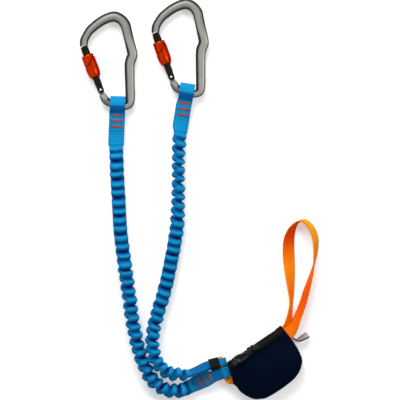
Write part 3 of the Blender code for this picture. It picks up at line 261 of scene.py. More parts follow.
class PouchSettings(bpy.types.PropertyGroup):
    width: length_setting("Width", "The pouch's width along its zip", 0.0849)
    depth: length_setting("Depth", "The pouch's depth from the zip to the bottom", 0.0594)
    seam_level: length_setting("Seam height", "The seam's height over the surface", 0.0105)
    rise: length_setting("Fullness", "How far the front swells over the seam", 0.0150)
    wall: length_setting("Wall", "The coated fabric with its lining", 0.0013)
    fabric_colour: colour_setting("Fabric", "Navy coated fabric", "#020d23")
    tape_colour: colour_setting("Tape", "Black binding and zip tape", "#060607")
    cord_colour: colour_setting("Puller cord", "Blue-grey braid of the puller", "#28303d")


class StageSettings(bpy.types.PropertyGroup):
    lens: FloatProperty(
        name="Lens", description="Focal length in millimetres", default=200, min=20, max=400,
        subtype="DISTANCE_CAMERA",
    )  # fmt: skip
    key: power_setting("Key lamp", "Power of the lamp beyond the carabiners", 24)
    right: power_setting("Right lamp", "Power of the lamp high at the right", 7)
    side: power_setting("Side lamp", "Power of the lamp at the left", 3)
    ambient: FloatProperty(
        name="Ambient", description="Strength of the light from all round", default=0.22, min=0
    )
    floor_colour: colour_setting("Floor", "Matt white paper", "#f7f7f6")


# Nodes and meshes


def add_node(tree, kind, inputs=(), output=0, **settings):
    """Adds a node with its settings and inputs, by order or name; gives its output, or the node for None."""
    made = tree.nodes.new(f"ShaderNode{kind}")
    for key, value in settings.items():
        setattr(made, key, value)
    for key, value in inputs.items() if isinstance(inputs, dict) else enumerate(inputs):
        socket = made.inputs[key]
        if isinstance(value, bpy.types.NodeSocket):
            tree.links.new(value, socket)
        else:
            socket.default_value = (*value, 1)[:4] if socket.type == "RGBA" else value
    return made if output is None else made.outputs[output]


# A Mix node for colours: its input 0 goes from the colour in 6 to the one in 7
COLOUR_MIX = {"output": 2, "data_type": "RGBA"}


def drawn(tree, end, draw, *options):
    """Fills an empty tree with what a function draws, up to its end node."""
    tree.nodes.clear()
    add_node(tree, end, {"Surface": draw(partial(add_node, tree), *options)}, None)


def material(name, draw, *options):
    """The material of that name, drawn when it is first asked for."""
    made = bpy.data.materials.get(name)
    if not made:
        made = bpy.data.materials.new(name)
        made.use_nodes = True
        drawn(made.node_tree, "OutputMaterial", draw, *options)
    return made


def shaded(colour, amount):
    return tuple(min(1, c * amount) for c in colour)


def grain(add, size, detail=2.0, stretch=(1, 1, 1)):
    """Irregular speckle from 0 to 1, with features of that size in metres."""
    place = add("Mapping", {"Vector": add("TexCoord", output="Object"), "Scale": stretch})
    return add("TexNoise", {"Vector": place, "Scale": 1 / size, "Detail": detail}, "Fac")


def wave(add, place, pitch):
    """A sine from -1 to 1 along one axis of a place, with that pitch in metres."""
    return add("Math", (add("Math", (place, 2 * math.pi / pitch), operation="MULTIPLY"),), operation="SINE")


def weave(add, rib, column, rib_share=0.65):
    """A woven face's height and its cross ribs alone, from 0 to 1, by the mesh's places across and along."""
    place = add("Attribute", output="Vector", attribute_name="weave")
    split = add("SeparateXYZ", (place,), None).outputs
    ribs, columns = (
        add("Math", (wave(add, split[axis], pitch), 0.5, 0.5), operation="MULTIPLY_ADD")
        for axis, pitch in ((1, rib), (0, column))
    )
    columns = add("Math", (columns, 1 - rib_share), operation="MULTIPLY")
    return add("Math", (ribs, rib_share, columns), operation="MULTIPLY_ADD"), ribs


def seen(add):
    """1 for the rays that show a surface as it is: the camera's, and those that gloss or glass sends on."""
    rays = add("LightPath", output=None).outputs
    shown = add("Math", (rays["Is Camera Ray"], rays["Is Glossy Ray"]), operation="MAXIMUM")
    return add("Math", (shown, rays["Is Transmission Ray"]), operation="MAXIMUM")


def mesh_object(name, verts, faces, finishes, attributes=None):
    mesh = bpy.data.meshes.new(name)
    mesh.from_pydata([tuple(v) for v in verts], [], faces)
    for finish in finishes if isinstance(finishes, list) else [finishes]:
        mesh.materials.append(finish)
    for key, values in (attributes or {}).items():
        values = np.asarray(values, np.float32)
        kind, slot = ("FLOAT_VECTOR", "vector") if values.ndim == 2 else ("FLOAT", "value")
        mesh.attributes.new(key, kind, "POINT").data.foreach_set(slot, values.ravel())
    made = bpy.data.objects.new(name, mesh)
    bpy.context.scene.collection.objects.link(made)
    bm = bmesh.new()
    bm.from_mesh(mesh)
    bmesh.ops.recalc_face_normals(bm, faces=bm.faces)
    bm.to_mesh(mesh)
    bm.free()
    mesh.shade_smooth()
    return made


def ring_faces(count, n, closed=False):
    """Quads between rings of n points, the last joined to the first where they are closed."""
    return [
        (low * n + i, low * n + (i + 1) % n, (low + 1) % count * n + (i + 1) % n, (low + 1) % count * n + i)
        for low in range(count if closed else count - 1) for i in range(n)
    ]  # fmt: skip


def skin(name, rings, finishes, attributes=None, closed=False):
    """A mesh over one or several stacks of rings of points, each with its ends filled unless it is closed."""
    rings = np.asarray(rings, float)
    count, n = rings.shape[-3:-1]
    faces = ring_faces(count, n, closed)
    if not closed:
        faces += [tuple(range(n)), tuple((count - 1) * n + i for i in range(n))]
    stacks = rings.size // (3 * count * n)
    faces = [tuple(stack * count * n + i for i in face) for stack in range(stacks) for face in faces]
    flat = {
        key: np.asarray(value).reshape(-1, *np.shape(value)[2:]) for key, value in (attributes or {}).items()
    }
    return mesh_object(name, rings.reshape(-1, 3), faces, finishes, flat)


def tubes(name, lines, radius, finish, fineness=1):
    """Round threads or cords along lines of points, as one curve object."""
    curve = bpy.data.curves.new(name, "CURVE")
    curve.dimensions = "3D"
    curve.bevel_depth = radius
    curve.bevel_resolution = fineness
    curve.use_fill_caps = True
    for line in lines:
        spline = curve.splines.new("POLY")
        spline.points.add(len(line) - 1)
        for point, place in zip(spline.points, line):
            point.co = (*place, 1)
        spline.use_smooth = True
    curve.materials.append(finish)
    made = bpy.data.objects.new(name, curve)
    bpy.context.scene.collection.objects.link(made)
    return made


def dress(piece, body, nodes=()):
    """The piece rides on its body and stands for its CAD nodes."""
    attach(piece, body)
    if nodes:
        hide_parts(*nodes)


# Lines and sections


def eased(share):
    share = np.clip(share, 0, 1)
    return share * share * (3 - 2 * share)


def distances(line):
    """How far along a line of places each of them is."""
    return np.concatenate([[0], np.cumsum(np.linalg.norm(np.diff(line, axis=0), axis=1))])


def smooth(rows, count):
    """Rows of numbers, their first two a place, spaced evenly on a smooth curve through the given rows."""
    rows = np.array(rows, float)
    ends = np.vstack([2 * rows[0] - rows[1], rows, 2 * rows[-1] - rows[-2]])
    found = []
    for a, b, c, d in zip(ends, ends[1:], ends[2:], ends[3:]):
        for t in np.linspace(0, 1, 24, endpoint=False):
            square, cube = (2 * a - 5 * b + 4 * c - d) * t**2, (3 * b - a - 3 * c + d) * t**3
            found.append(0.5 * (2 * b + (c - a) * t + square + cube))
    found = np.array(found + [rows[-1]])
    along = distances(found[:, :2])
    at = np.linspace(0, along[-1], count)
    return np.stack([np.interp(at, along, found[:, k]) for k in range(found.shape[1])], axis=1)


def unit(vectors):
    return vectors / np.linalg.norm(vectors, axis=-1, keepdims=True)


class Route:
    """A strap's line, with its place, direction, normal and side at each distance along it."""

    def __init__(self, rows, turned_back=False):
        fine = smooth(rows, 900)
        if turned_back:
            fine = fine[::-1] * (1, 1, 1, -1)
        self.places = fine[:, :3] * MM
        self.rolls = np.radians(fine[:, 3])
        self.along = distances(self.places)
        self.length = float(self.along[-1])
        self.ways = np.gradient(self.places, self.along, axis=0)

    def frames(self, at):
        at = np.asarray(at, float)
        inside = np.clip(at, 0, self.length)
        place, way = (
            np.stack([np.interp(inside, self.along, rows[:, k]) for k in range(3)], axis=-1)
            for rows in (self.places, self.ways)
        )
        way = unit(way)
        place = place + way * (at - inside)[:, None]
        up = unit(np.array([0, 0, 1]) - way * way[:, 2:3])
        side = np.cross(way, up)
        roll = np.interp(inside, self.along, self.rolls)[:, None]
        return place, way, up * np.cos(roll) + side * np.sin(roll), side * np.cos(roll) - up * np.sin(roll)


def shaped(count, flatness_across, flatness_up):
    """A ring's points as shares across and up: 1 and 1 make an ellipse, and less is squarer."""
    angles = 2 * np.pi * (np.arange(count) + 0.5) / count
    c, s = np.cos(angles), np.sin(angles)
    return np.sign(c) * np.abs(c) ** flatness_across, np.sign(s) * np.abs(s) ** flatness_up


def rings_round(places, *spreads):
    """A ring round each place, from directions there and how far each of its points stands off along them."""
    rings = places[:, None]
    for way, far in spreads:
        rings = rings + way[:, None] * far[:, :, None]
    return rings


STRAP_SECTION = (0.22, 0.62)  # webbing's section is nearly square across and rounded at its edges


def strap_rings(places, normals, sides, half_thickness, half_width, along, count=20):
    """Rings of a webbing's section, with the places along and across that its weave follows."""
    across, up = shaped(count, *STRAP_SECTION)
    wide = across * np.broadcast_to(half_width, len(places))[:, None]
    high = up * np.broadcast_to(half_thickness, len(places))[:, None]
    marks = np.stack([wide, np.repeat(along[:, None], count, 1), 0 * wide], axis=-1)
    return rings_round(places, (sides, wide), (normals, high)), marks


# Finishes


def bead_blasted_aluminium(add, settings):
    """Grey anodised aluminium, bead-blasted after forging: a soft broad highlight with a faint grit."""
    grit = grain(add, 0.6 * MM, 3)  # the real grit is 0.1 mm, drawn coarser so that it shows
    patches = grain(add, 20 * MM)  # the dye takes unevenly, over a sixth of the frame's length
    # Painted shade: the crown marks keep the broad faces grey and paint the sides, the bow and basket darker
    crown = add("Attribute", output="Fac", attribute_name="crown")
    tone = add("Math", (patches, 0.16, crown), operation="MULTIPLY_ADD")
    tone = add("Math", (grit, 0.14, tone), operation="MULTIPLY_ADD")
    tone = add("Math", (tone, -0.15), operation="ADD", use_clamp=True)
    return add("BsdfPrincipled", {
        "Base Color": add("Mix", {0: tone, 6: settings.side_shade_paint, 7: settings.frame_colour}, **COLOUR_MIX),
        "Metallic": 1.0,
        "Roughness": add("Math", (grit, 0.10, 0.38), operation="MULTIPLY_ADD"),
        "Normal": add("Bump", {"Height": grit, "Distance": 0.06 * MM, "Strength": 0.5}),
    })  # fmt: skip


def machined_aluminium(add, settings):
    """Bare machined aluminium at the nose and the hinge: bright, with fine tool lines."""
    lines = grain(add, 0.8 * MM, 1, (1, 8, 1))  # the cutter leaves a line every 0.1 mm
    bare = settings.bare_colour
    worn = add("Mix", {0: lines, 6: shaded(bare, 0.8), 7: bare}, **COLOUR_MIX)
    # The nose's turned ring is cut last and stays the brightest
    polish = add("Attribute", output="Fac", attribute_name="polish")
    return add("BsdfPrincipled", {
        "Base Color": add("Mix", {0: polish, 6: worn, 7: linear("#dcdedf")}, **COLOUR_MIX),
        "Metallic": 1.0,
        "Roughness": add("Math", (lines, 0.12, 0.45), operation="MULTIPLY_ADD"),
        "Normal": add("Bump", {"Height": lines, "Distance": 0.04 * MM, "Strength": 0.4}),
    })  # fmt: skip


def dyed_anodising(add, colour, roughness):
    """Dyed anodising on a turned surface: a clear dyed skin over metal, with faint turning lines."""
    lines = grain(add, 0.9 * MM, 1, (1, 1, 6))  # turning leaves a line every 0.15 mm
    cloudy = grain(add, 6 * MM)  # the dye is cloudy over some 6 mm
    dye = add("Mix", {0: cloudy, 6: shaded(colour, 0.5), 7: colour}, **COLOUR_MIX)
    groove = add("Attribute", output="Fac", attribute_name="groove")
    return add("BsdfPrincipled", {
        # Painted shade darkens the step's groove
        "Base Color": add("Mix", {0: groove, 6: dye, 7: shaded(colour, 0.06)}, **COLOUR_MIX),
        "Metallic": 1.0,
        "Roughness": add("Math", (lines, 0.10, roughness), operation="MULTIPLY_ADD"),
        # Light that grazes the surface passes through more of the dyed skin, so the edges keep their colour
        "Specular Tint": tuple(0.1 + 0.9 * (c / max(colour)) ** 0.5 for c in colour),
        "Normal": add("Bump", {"Height": lines, "Distance": 0.03 * MM, "Strength": 0.4}),
    })  # fmt: skip


def turned_steel(add):
    """Stainless steel pins and springs: bright and slightly satin."""
    lines = grain(add, 0.7 * MM, 1)  # the real polish is finer than 0.1 mm, drawn coarser so that it shows
    rough = add("Math", (lines, 0.12, 0.2), operation="MULTIPLY_ADD")
    return add("BsdfPrincipled", {"Base Color": linear("#d4d6d8"), "Metallic": 1.0, "Roughness": rough})


def blue_webbing(add, settings):
    """Dyed polyamide webbing over rubber threads: matt and cross-ribbed, with painted light and shade."""
    # Real ribs are 0.9 mm apart and real fibres 0.03 mm thick; both are drawn coarser so that they show
    height, ribs = weave(add, 1.5 * MM, 1.1 * MM)
    fibres = add("Math", (grain(add, 1.2 * MM, 3), 0.24, -0.2), operation="MULTIPLY_ADD")
    depth = add("Math", (ribs, 0.22, fibres), operation="MULTIPLY_ADD")
    # The fold marks are painted light and shade: 1 takes the lit crest colour, 0 the shaded valley colour
    fold = add("Attribute", output="Fac", attribute_name="fold")
    share = add("Math", (fold, depth), operation="ADD", use_clamp=True)
    colour = add("Mix", {0: share, 6: settings.valley_shade_paint, 7: settings.crest_colour}, **COLOUR_MIX)
    return add("BsdfPrincipled", {
        "Base Color": colour,
        "Roughness": 0.8, "Specular IOR Level": 0.06,
        "Normal": add("Bump", {"Height": height, "Distance": 0.3 * MM, "Strength": 0.7}),
    })  # fmt: skip


def orange_webbing(add, settings):
    """Flat woven polyamide webbing: matt, with deep cross ribs and redder painted shade between them."""
    # The ribs have their real pitch, and the fibres are drawn coarser than life so that they show
    height, ribs = weave(add, settings.rib, 1.3 * MM, 0.75)
    fibres = add("Math", (grain(add, 1.2 * MM, 3), 0.3, -0.32), operation="MULTIPLY_ADD")
    depth = add("Math", (ribs, 0.34, fibres), operation="MULTIPLY_ADD")
    # The tone marks are painted light and shade: paler where the loop is lit, redder where it is shaded
    tone = add("Attribute", output="Fac", attribute_name="tone")
    share = add("Math", (depth, tone), operation="ADD", use_clamp=True)
    return add("BsdfPrincipled", {
        "Base Color": add("Mix", {0: share, 6: settings.shade_colour, 7: settings.colour}, **COLOUR_MIX),
        "Roughness": 0.75, "Specular IOR Level": 0.06,
        "Normal": add("Bump", {"Height": height, "Distance": 0.4 * MM, "Strength": 0.8}),
    })  # fmt: skip


def bonded_thread(add, colour):
    """Bonded polyester thread: a slight gloss along each twisted strand."""
    twist = grain(add, 0.5 * MM, 1)  # a strand crosses the thread every 0.5 mm
    return add("BsdfPrincipled", {
        "Base Color": add("Mix", {0: twist, 6: shaded(colour, 0.6), 7: colour}, **COLOUR_MIX),
        "Roughness": 0.6, "Specular IOR Level": 0.15,
        "Normal": add("Bump", {"Height": twist, "Distance": 0.1 * MM, "Strength": 0.6}),
    })  # fmt: skip


def coated_ripstop(add, settings):
    """Navy woven polyester with a coating: a fine ripstop grid and a low satin sheen."""
    # Real threads are 0.3 mm apart with a ripstop bar every 5 mm; both are drawn coarser so that they show
    thread_pitch, bar_pitch = 1.1 * MM, 5.5 * MM
    place = add("TexCoord", output="Object")
    turned = add("Mapping", {"Vector": place, "Rotation": (0, 0, -POUCH_ANGLE)})
    split = add("SeparateXYZ", (turned,), None).outputs
    threads = []
    for axis in (0, 1):
        bar = add("Math", (wave(add, split[axis], bar_pitch),), operation="ABSOLUTE")
        bar = add("Math", (add("Math", (bar, 12.0), operation="POWER"), 0.8), operation="MULTIPLY")
        fine = wave(add, split[axis], thread_pitch)
        threads.append(add("Math", (fine, 0.3, bar), operation="MULTIPLY_ADD"))
    height = add("Math", threads, operation="MAXIMUM")
    # The coating lies thicker and thinner over some 12 mm
    cloudy = add("Math", (grain(add, 12 * MM, 3), 0.8), operation="MULTIPLY")
    share = add("Math", (height, 0.18, cloudy), operation="MULTIPLY_ADD", use_clamp=True)
    base = settings.fabric_colour
    return add("BsdfPrincipled", {
        "Base Color": add("Mix", {0: share, 6: shaded(base, 0.55), 7: shaded(base, 1.3)}, **COLOUR_MIX),
        "Roughness": 0.6, "Specular IOR Level": 0.02,
        "Normal": add("Bump", {"Height": height, "Distance": 0.12 * MM, "Strength": 0.6}),
    })  # fmt: skip


def woven_tape(add, colour, rib, roughness=0.75):
    """Narrow woven tape: fine cross ribs and a matt face."""
    # Real tape has ribs 0.5 mm apart; they and the fibres are drawn about twice as coarse so that they show
    height, ribs = weave(add, rib, 0.9 * MM, 0.7)
    fibres = add("Math", (grain(add, 1.0 * MM, 3), 0.6), operation="MULTIPLY")
    share = add("Math", (ribs, 0.4, fibres), operation="MULTIPLY_ADD", use_clamp=True)
    return add("BsdfPrincipled", {
        "Base Color": add("Mix", {0: share, 6: shaded(colour, 0.5), 7: colour}, **COLOUR_MIX),
        "Roughness": roughness, "Specular IOR Level": 0.06,
        "Normal": add("Bump", {"Height": height, "Distance": 0.2 * MM, "Strength": 0.6}),
    })  # fmt: skip


def braided_cord(add, settings):
    """Braided polyester accessory cord: crossed strands that show as a fine diamond grain."""
    strands, base = grain(add, 0.7 * MM), settings.cord_colour  # a strand of the braid is 0.7 mm wide
    return add("BsdfPrincipled", {
        "Base Color": add("Mix", {0: strands, 6: shaded(base, 0.25), 7: base}, **COLOUR_MIX),
        "Roughness": 0.65, "Specular IOR Level": 0.15,
        "Normal": add("Bump", {"Height": strands, "Distance": 0.2 * MM, "Strength": 0.8}),
    })  # fmt: skip


def lacquered_zinc(add):
    """Die-cast zinc with dark lacquer: smooth, with a dull gloss."""
    cast = grain(add, 1.5 * MM)  # the casting's skin ripples over some 1.5 mm
    return add("BsdfPrincipled", {
        "Base Color": add("Mix", {0: cast, 6: linear("#1c1d20"), 7: linear("#34363a")}, **COLOUR_MIX),
        "Metallic": 0.6, "Roughness": 0.35,
        "Normal": add("Bump", {"Height": cast, "Distance": 0.05 * MM, "Strength": 0.4}),
    })  # fmt: skip


def white_paper(add, settings):
    """Matt white paper: no gloss, and some white of its own to look at, so that it stays pale."""
    fibres, base = grain(add, 4 * MM), settings.floor_colour  # real fibres are 1 mm long, drawn coarser
    return add("BsdfPrincipled", {
        "Base Color": add("Mix", {0: fibres, 6: shaded(base, 0.985), 7: base}, **COLOUR_MIX),
        "Roughness": 0.95, "Specular IOR Level": 0.1, "Emission Color": linear("#ffffff"),
        "Emission Strength": add("Math", (seen(add), 0.40), operation="MULTIPLY"),
    })  # fmt: skip


def studio_light(add, settings):
    """White to look at, and an even light from all round."""
    strength = add("Math", (seen(add), 1 - settings.ambient, settings.ambient), operation="MULTIPLY_ADD")
    return add("Background", {"Color": linear("#ffffff"), "Strength": strength})


# Stage

FLOOR_HALF = 1.5
PICTURE_WIDTH = 0.466  # what the photograph spans at the height of the carabiners' middle
PICTURE_MIDDLE = Vector((0.00093, -0.0007, 0.009))


class LANYARD_OT_stage(bpy.types.Operator):
    """Sets the floor, the camera straight above and the soft studio lamps"""

    bl_idname = "lanyard.set_stage"
    bl_label = "Set the stage"

    def execute(self, context):
        scene, settings = context.scene, context.scene.lanyard_stage
        scene.view_settings.view_transform = "Standard"
        corners = [(x * FLOOR_HALF, y * FLOOR_HALF, 0) for x, y in ((-1, -1), (1, -1), (1, 1), (-1, 1))]
        paper = material("matt_white_paper", white_paper, settings)
        mesh_object("floor", corners, [(0, 1, 2, 3)], paper)

        data = bpy.data.cameras.new("camera")
        data.lens = settings.lens
        data.clip_end = 20
        camera = bpy.data.objects.new("camera", data)
        camera.location = PICTURE_MIDDLE + Vector((0, 0, PICTURE_WIDTH * settings.lens / data.sensor_width))
        scene.collection.objects.link(camera)
        scene.camera = camera

        for name, place, size, power in (
            ("key_lamp", (-0.30, 1.20, 1.00), 1.0, settings.key),
            ("right_lamp", (1.10, 0.30, 1.25), 0.4, settings.right),
            ("side_lamp", (-1.2, -0.2, 0.9), 1.6, settings.side),
        ):
            lamp = bpy.data.lights.new(name, "AREA")
            lamp.size, lamp.energy = size, power
            made = bpy.data.objects.new(name, lamp)
            made.location = place
            made.rotation_euler = (-Vector(place)).to_track_quat("-Z", "Y").to_euler()
            scene.collection.objects.link(made)

        scene.world = bpy.data.worlds.new("studio")
        scene.world.use_nodes = True
        drawn(scene.world.node_tree, "OutputWorld", studio_light, settings)
        return {"FINISHED"}


# Arms

ARM_SEEDS = {"left": 5, "right": 9}
ARM_POINTS = 32  # round the gathered tube
GATHER_END = 0.0012  # how far the gathers run into each sewn end
GATHER_FADE = 0.012  # and over how much of the arm they grow to their full height
STRETCH_START, STRETCH_END = 0.03, 0.002  # distances from the lower and the upper sewn end, at which two places on the arm are found
GATHER_SHIFT, GATHER_CHANGE = 0.0009, 0.10  # how much they differ in place and in height
GATHER_LEAN, GATHER_TWIST, GATHER_BOW = (-0.0006, 0.0006), (-0.10, 0.10), (0.0004, 0.0016)
SHALLOW_RISE = 0.0018  # every second fold is shallower by this
SEWN_PAINTED_TONE = 0.62  # the painted tone, between painted shade and painted light, of the webbing where it is sewn
FLOOR_CLEARANCE = 0.0001


def gather_pattern(route, settings, seed):
    """The gathers' distances, their heights and painted light and shade above and below the line, their fade
    and changes.
    """
    start, end = UPPER_EYE.sewn - GATHER_END, route.length - LOWER_EYES["left"].sewn + GATHER_END
    gathers = round((end - start) / settings.gather)
    phase = np.linspace(0, 2 * np.pi * gathers, gathers * settings.rings + 1)
    share = phase / phase[-1]
    random = np.random.default_rng(seed)
    knots = np.linspace(0, 1, 2 * gathers + 1)
    shift, top_change, bottom_change = (
        np.interp(share, knots, random.uniform(-1, 1, len(knots)) * amount)
        for amount in (GATHER_SHIFT, GATHER_CHANGE, GATHER_CHANGE)
    )
    at = start + (end - start) * share
    fade = eased((at - start) / GATHER_FADE) * eased((end - at) / GATHER_FADE)
    at = at + shift * fade
    heights, painted_tones = [], []
    for turn, change, lag in (
        (np.sin(phase / 2), top_change, 0), (np.cos(phase / 2), bottom_change, np.pi / 2),
    ):  # fmt: skip
        # Every second fold is shallower, and its floor is painted lighter
        shallow = (1 - np.abs(turn)) * (0.5 - 0.5 * np.cos(phase / 2 + lag))
        lobe = (settings.lobe - settings.notch) * np.abs(turn) ** 0.64 * (1 + change)
        high = settings.notch + lobe + SHALLOW_RISE * shallow
        heights.append(settings.thickness + (high - settings.thickness) * fade)
        # Painted light on each gather's crest and painted shade down in each fold
        painted_tones.append(np.abs(turn) ** 2.6 + 0.30 * shallow)
    changes = [
        np.interp(share, knots, random.uniform(*limits, len(knots))) * fade
        for limits in (GATHER_LEAN, GATHER_TWIST, GATHER_BOW)
    ]
    return at, heights, painted_tones, fade, changes


def gathered_arm(side, settings):
    """One arm: a ribbon of tubular webbing drawn into even gathers, between its two sewn ends."""
    route = Route(STRANDS[side])
    at, (top, bottom), painted_tones, fade, (lean, twist, bow) = gather_pattern(route, settings, ARM_SEEDS[side])
    place, way, normal, across = route.frames(at)
    cos, sin = np.cos(twist)[:, None], np.sin(twist)[:, None]
    normal, across = normal * cos + across * sin, across * cos - normal * sin
    # The section is squarish where it meets the sewn end and rounder along the gathers
    square, tubular = shaped(ARM_POINTS, 0.3, 0.6), shaped(ARM_POINTS, 0.72, 0.82)
    out, up = (a + (b - a) * fade[:, None] for a, b in zip(square, tubular))
    middle, half = (top - bottom) / 2, (top + bottom) / 2
    high = middle[:, None] + up * half[:, None]
    wide = out * settings.width / 2
    along = lean[:, None] * high / settings.lobe + bow[:, None] * (0.5 - out**2)
    rings = rings_round(place, (normal, high), (across, wide), (way, along))
    # The gathers flatten where they lie on the floor
    rings[:, :, 2] = np.maximum(rings[:, :, 2], FLOOR_CLEARANCE)
    upper = (up + 1) / 2
    # The fold marks are painted light and shade: lit on the crests, shaded in the folds, the sewn tone at the
    # ends
    fold = np.maximum(painted_tones[0][:, None] * upper**0.7, painted_tones[1][:, None] * (1 - upper) ** 0.7)
    fold = SEWN_PAINTED_TONE + (fold - SEWN_PAINTED_TONE) * fade[:, None]
    developed = distances(np.column_stack([at, middle]))
    marks = np.stack([wide, np.repeat(developed[:, None], ARM_POINTS, 1), 0 * wide], axis=-1)
    finish = material("blue_polyamide_webbing", blue_webbing, settings)
    arm = skin(f"gathered_arm_{side}", rings, finish, {"weave": marks, "fold": fold})
    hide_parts(f"elastic_arm_{side}")
    ends = [route.length - LOWER_EYES[side].sewn - STRETCH_START, UPPER_EYE.sewn + STRETCH_END]
    low, high_end = route.frames(ends)[0]
    tuple(low)
    tuple(high_end)
    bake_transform(arm)
    run = at[(at > at[0]) & (at < at[-1])][::5]
    points = route.frames(np.concatenate([[at[0]], np.sort(run), [at[-1]]]))[0]
    tuple(points[0])
    float(distances(points)[-1])
    [tuple(p) for p in points]  # fmt: skip


class LANYARD_OT_arms(bpy.types.Operator):
    """Adds the two elastic arms, each one ribbon of tubular webbing drawn into even gathers"""

    bl_idname = "lanyard.add_elastic_arms"
    bl_label = "Elastic arms"

    def execute(self, context):
        for side in SIDES:
            gathered_arm(side, context.scene.lanyard_arms)
        return {"FINISHED"}


# Sewn eyes

UPPER_TACKS = {"left": (0.0122, 0.0187, 0.0255), "right": (0.0137, 0.0204, 0.0272)}
LOWER_TACKS = (0.0172, 0.0245, 0.0318)
UPPER_TACK_WIDTH, LOWER_TACK_WIDTH = 0.0132, 0.0116
TACK_STEPS, TACK_SWING, TACK_THREAD = 23, 0.0013, 0.00027  # one tack's zigzag
PAD_HALF_LENGTH, PAD_HALF_HEIGHT = 0.00125, 0.00028  # what the zigzag is sewn into
CREASE_PITCH, CREASE_DEPTH = 0.0031, 0.00032
CREASE_SHARE = 0.50  # from where the sewn layers bunch up, before the gathers
BACK_SLIP = {"left": 0.0, "right": 0.0018}  # how far the back layer is sewn on to one side
FULL_LOWER_WIDTH = 0.0172
BUNCHED_WIDTHS = {"left": 0.0128, "right": 0.0092}
# Painted light and shade on the webbing by distance from the bar: painted light where it is drawn tight
# over the bar, painted shade where it lies loose behind it, and a mid tone where it is sewn flat further on
UPPER_LIGHT_PAINT = ((0, 0.80), (0.0022, 0.28), (0.0088, 0.20), (0.0100, 0.66), (0.0310, 0.68), (0.0370, 0.9))
LOWER_LIGHT_PAINT = {
    "left": ((0, 0.62), (0.003, 0.34), (0.013, 0.34), (0.016, 0.56), (0.038, 0.60)),
    "right": ((0, 0.62), (0.003, 0.5), (0.016, 0.34), (0.038, 0.42)),
}
STITCH_STARTS = np.arange(0.0150, 0.0370, 0.0026)
STITCH_LENGTH, STITCH_OUT, STITCH_RISE, STITCH_THREAD = 0.0019, 0.0035, 0.00022, 0.00026
KEEPER_START, KEEPER_END, KEEPER_RINGS, KEEPER_POINTS = 0.0024, 0.0142, 12, 28
KEEPER_CLEARANCE, KEEPER_THICKNESS, KEEPER_BULGE = 0.0006, 0.0011, 0.0003
KEEPER_POINT_GAP = 0.0018  # from one point to the next round the band, as its weave counts them


def eye_height(far, eye, thickness):
    """Half the opening of a sewn eye at that distance from the bar, to the middle of the webbing."""
    layer = thickness / 2 + LAYER_GAP
    share = np.clip(far / eye.neck, 0, 1)
    return layer + (eye.high - layer) * (1 - share**1.6) ** 1.15


def upper_width(side, far, settings):
    """The upper webbing's width: the left one leaves room for the frame's corner, the right one narrows."""
    share = 1.01 + 0.05 * eased((far - 0.003) / 0.008) if side == "left" else 1 - 0.06 * eased(far / 0.026)
    return settings.eye_width * share


def lower_width(side, far):
    """The lower webbing's width: bunched on the loop, and full further on."""
    narrow = BUNCHED_WIDTHS[side]
    return narrow + (FULL_LOWER_WIDTH - narrow) * eased((far - LOWER_EYES[side].neck) / 0.016)


def sewn_eye(name, route, eye, width_at, painted_tones, settings, slip=0.0):
    """Webbing up the line, round the bar at its start and back, its layers sewn together past the neck."""
    fars = np.concatenate([np.linspace(eye.sewn, eye.neck, 36), np.linspace(eye.neck, 0, 24)[1:]])
    front = [(far, eye_height(far, eye, settings.thickness)) for far in fars]
    front += [(-eye.reach * math.sin(a), eye.high * math.cos(a)) for a in np.linspace(0, math.pi / 2, 18)[1:]]
    line = np.array(front + [(far, -high) for far, high in front[-2::-1]])
    far = line[:, 0]
    ways = unit(np.gradient(line, axis=0))
    place, way, normal, across = route.frames(far)
    slipped = slip * (line[:, 1] < 0) * eased((far - eye.neck * 0.4) / eye.neck)
    slipped = slipped * eased((eye.sewn - far) / 0.006)
    places = place + normal * line[:, 1:] + across * slipped[:, None]
    normals = normal * ways[:, :1] - way * ways[:, 1:]
    crease = np.sin(far * 2 * np.pi / CREASE_PITCH) * eased((far - eye.sewn * CREASE_SHARE) / 0.006)
    places = places + normals * (CREASE_DEPTH * crease)[:, None]
    half_width = np.array([width_at(one) for one in far]) / 2
    rings, marks = strap_rings(places, normals, across, settings.thickness / 2, half_width, distances(line))
    # The fold marks are painted light and shade along the eye, darker in each crease and lighter on its
    # ridges
    fold = np.repeat((np.interp(far, *zip(*painted_tones)) + 0.16 * crease)[:, None], rings.shape[1], 1)
    finish = material("blue_polyamide_webbing", blue_webbing, settings)
    return skin(name, rings, finish, {"weave": marks, "fold": fold})


def bar_tacks(name, route, fars, width, level_at, settings, body):
    """Rows of dense coral stitches across the sewn layers, on both faces."""
    finish = material("coral_bonded_thread", bonded_thread, settings.thread_colour)
    zigzag = np.tile((TACK_SWING, -TACK_SWING), TACK_STEPS)[:, None]
    across_at = np.linspace(-width / 2, width / 2, 2 * TACK_STEPS)[:, None]
    out, up = shaped(16, 0.3, 0.6)
    spread = np.linspace(-1, 1, 9)
    half = np.sqrt(1 - np.abs(spread) ** 6 * 0.9)[:, None]
    lines, pads = [], []
    for far in fars:
        for face in (1, -1):
            level = face * level_at(far)
            place, way, normal, across = route.frames(np.full(2 * TACK_STEPS, far))
            lift = normal * (level + face * PAD_HALF_HEIGHT)
            lines.append(place + way * zigzag + across * across_at + lift)
            place, way, normal, across = route.frames(np.full(9, far))
            pads.append(rings_round(
                place, (across, (spread * width / 2)[:, None]), (way, out * PAD_HALF_LENGTH * half),
                (normal, level + up * PAD_HALF_HEIGHT * half),
            ))  # fmt: skip
    dress(skin(f"{name}_pads", pads, finish), body)
    dress(tubes(f"{name}_stitches", lines, TACK_THREAD, finish), body)


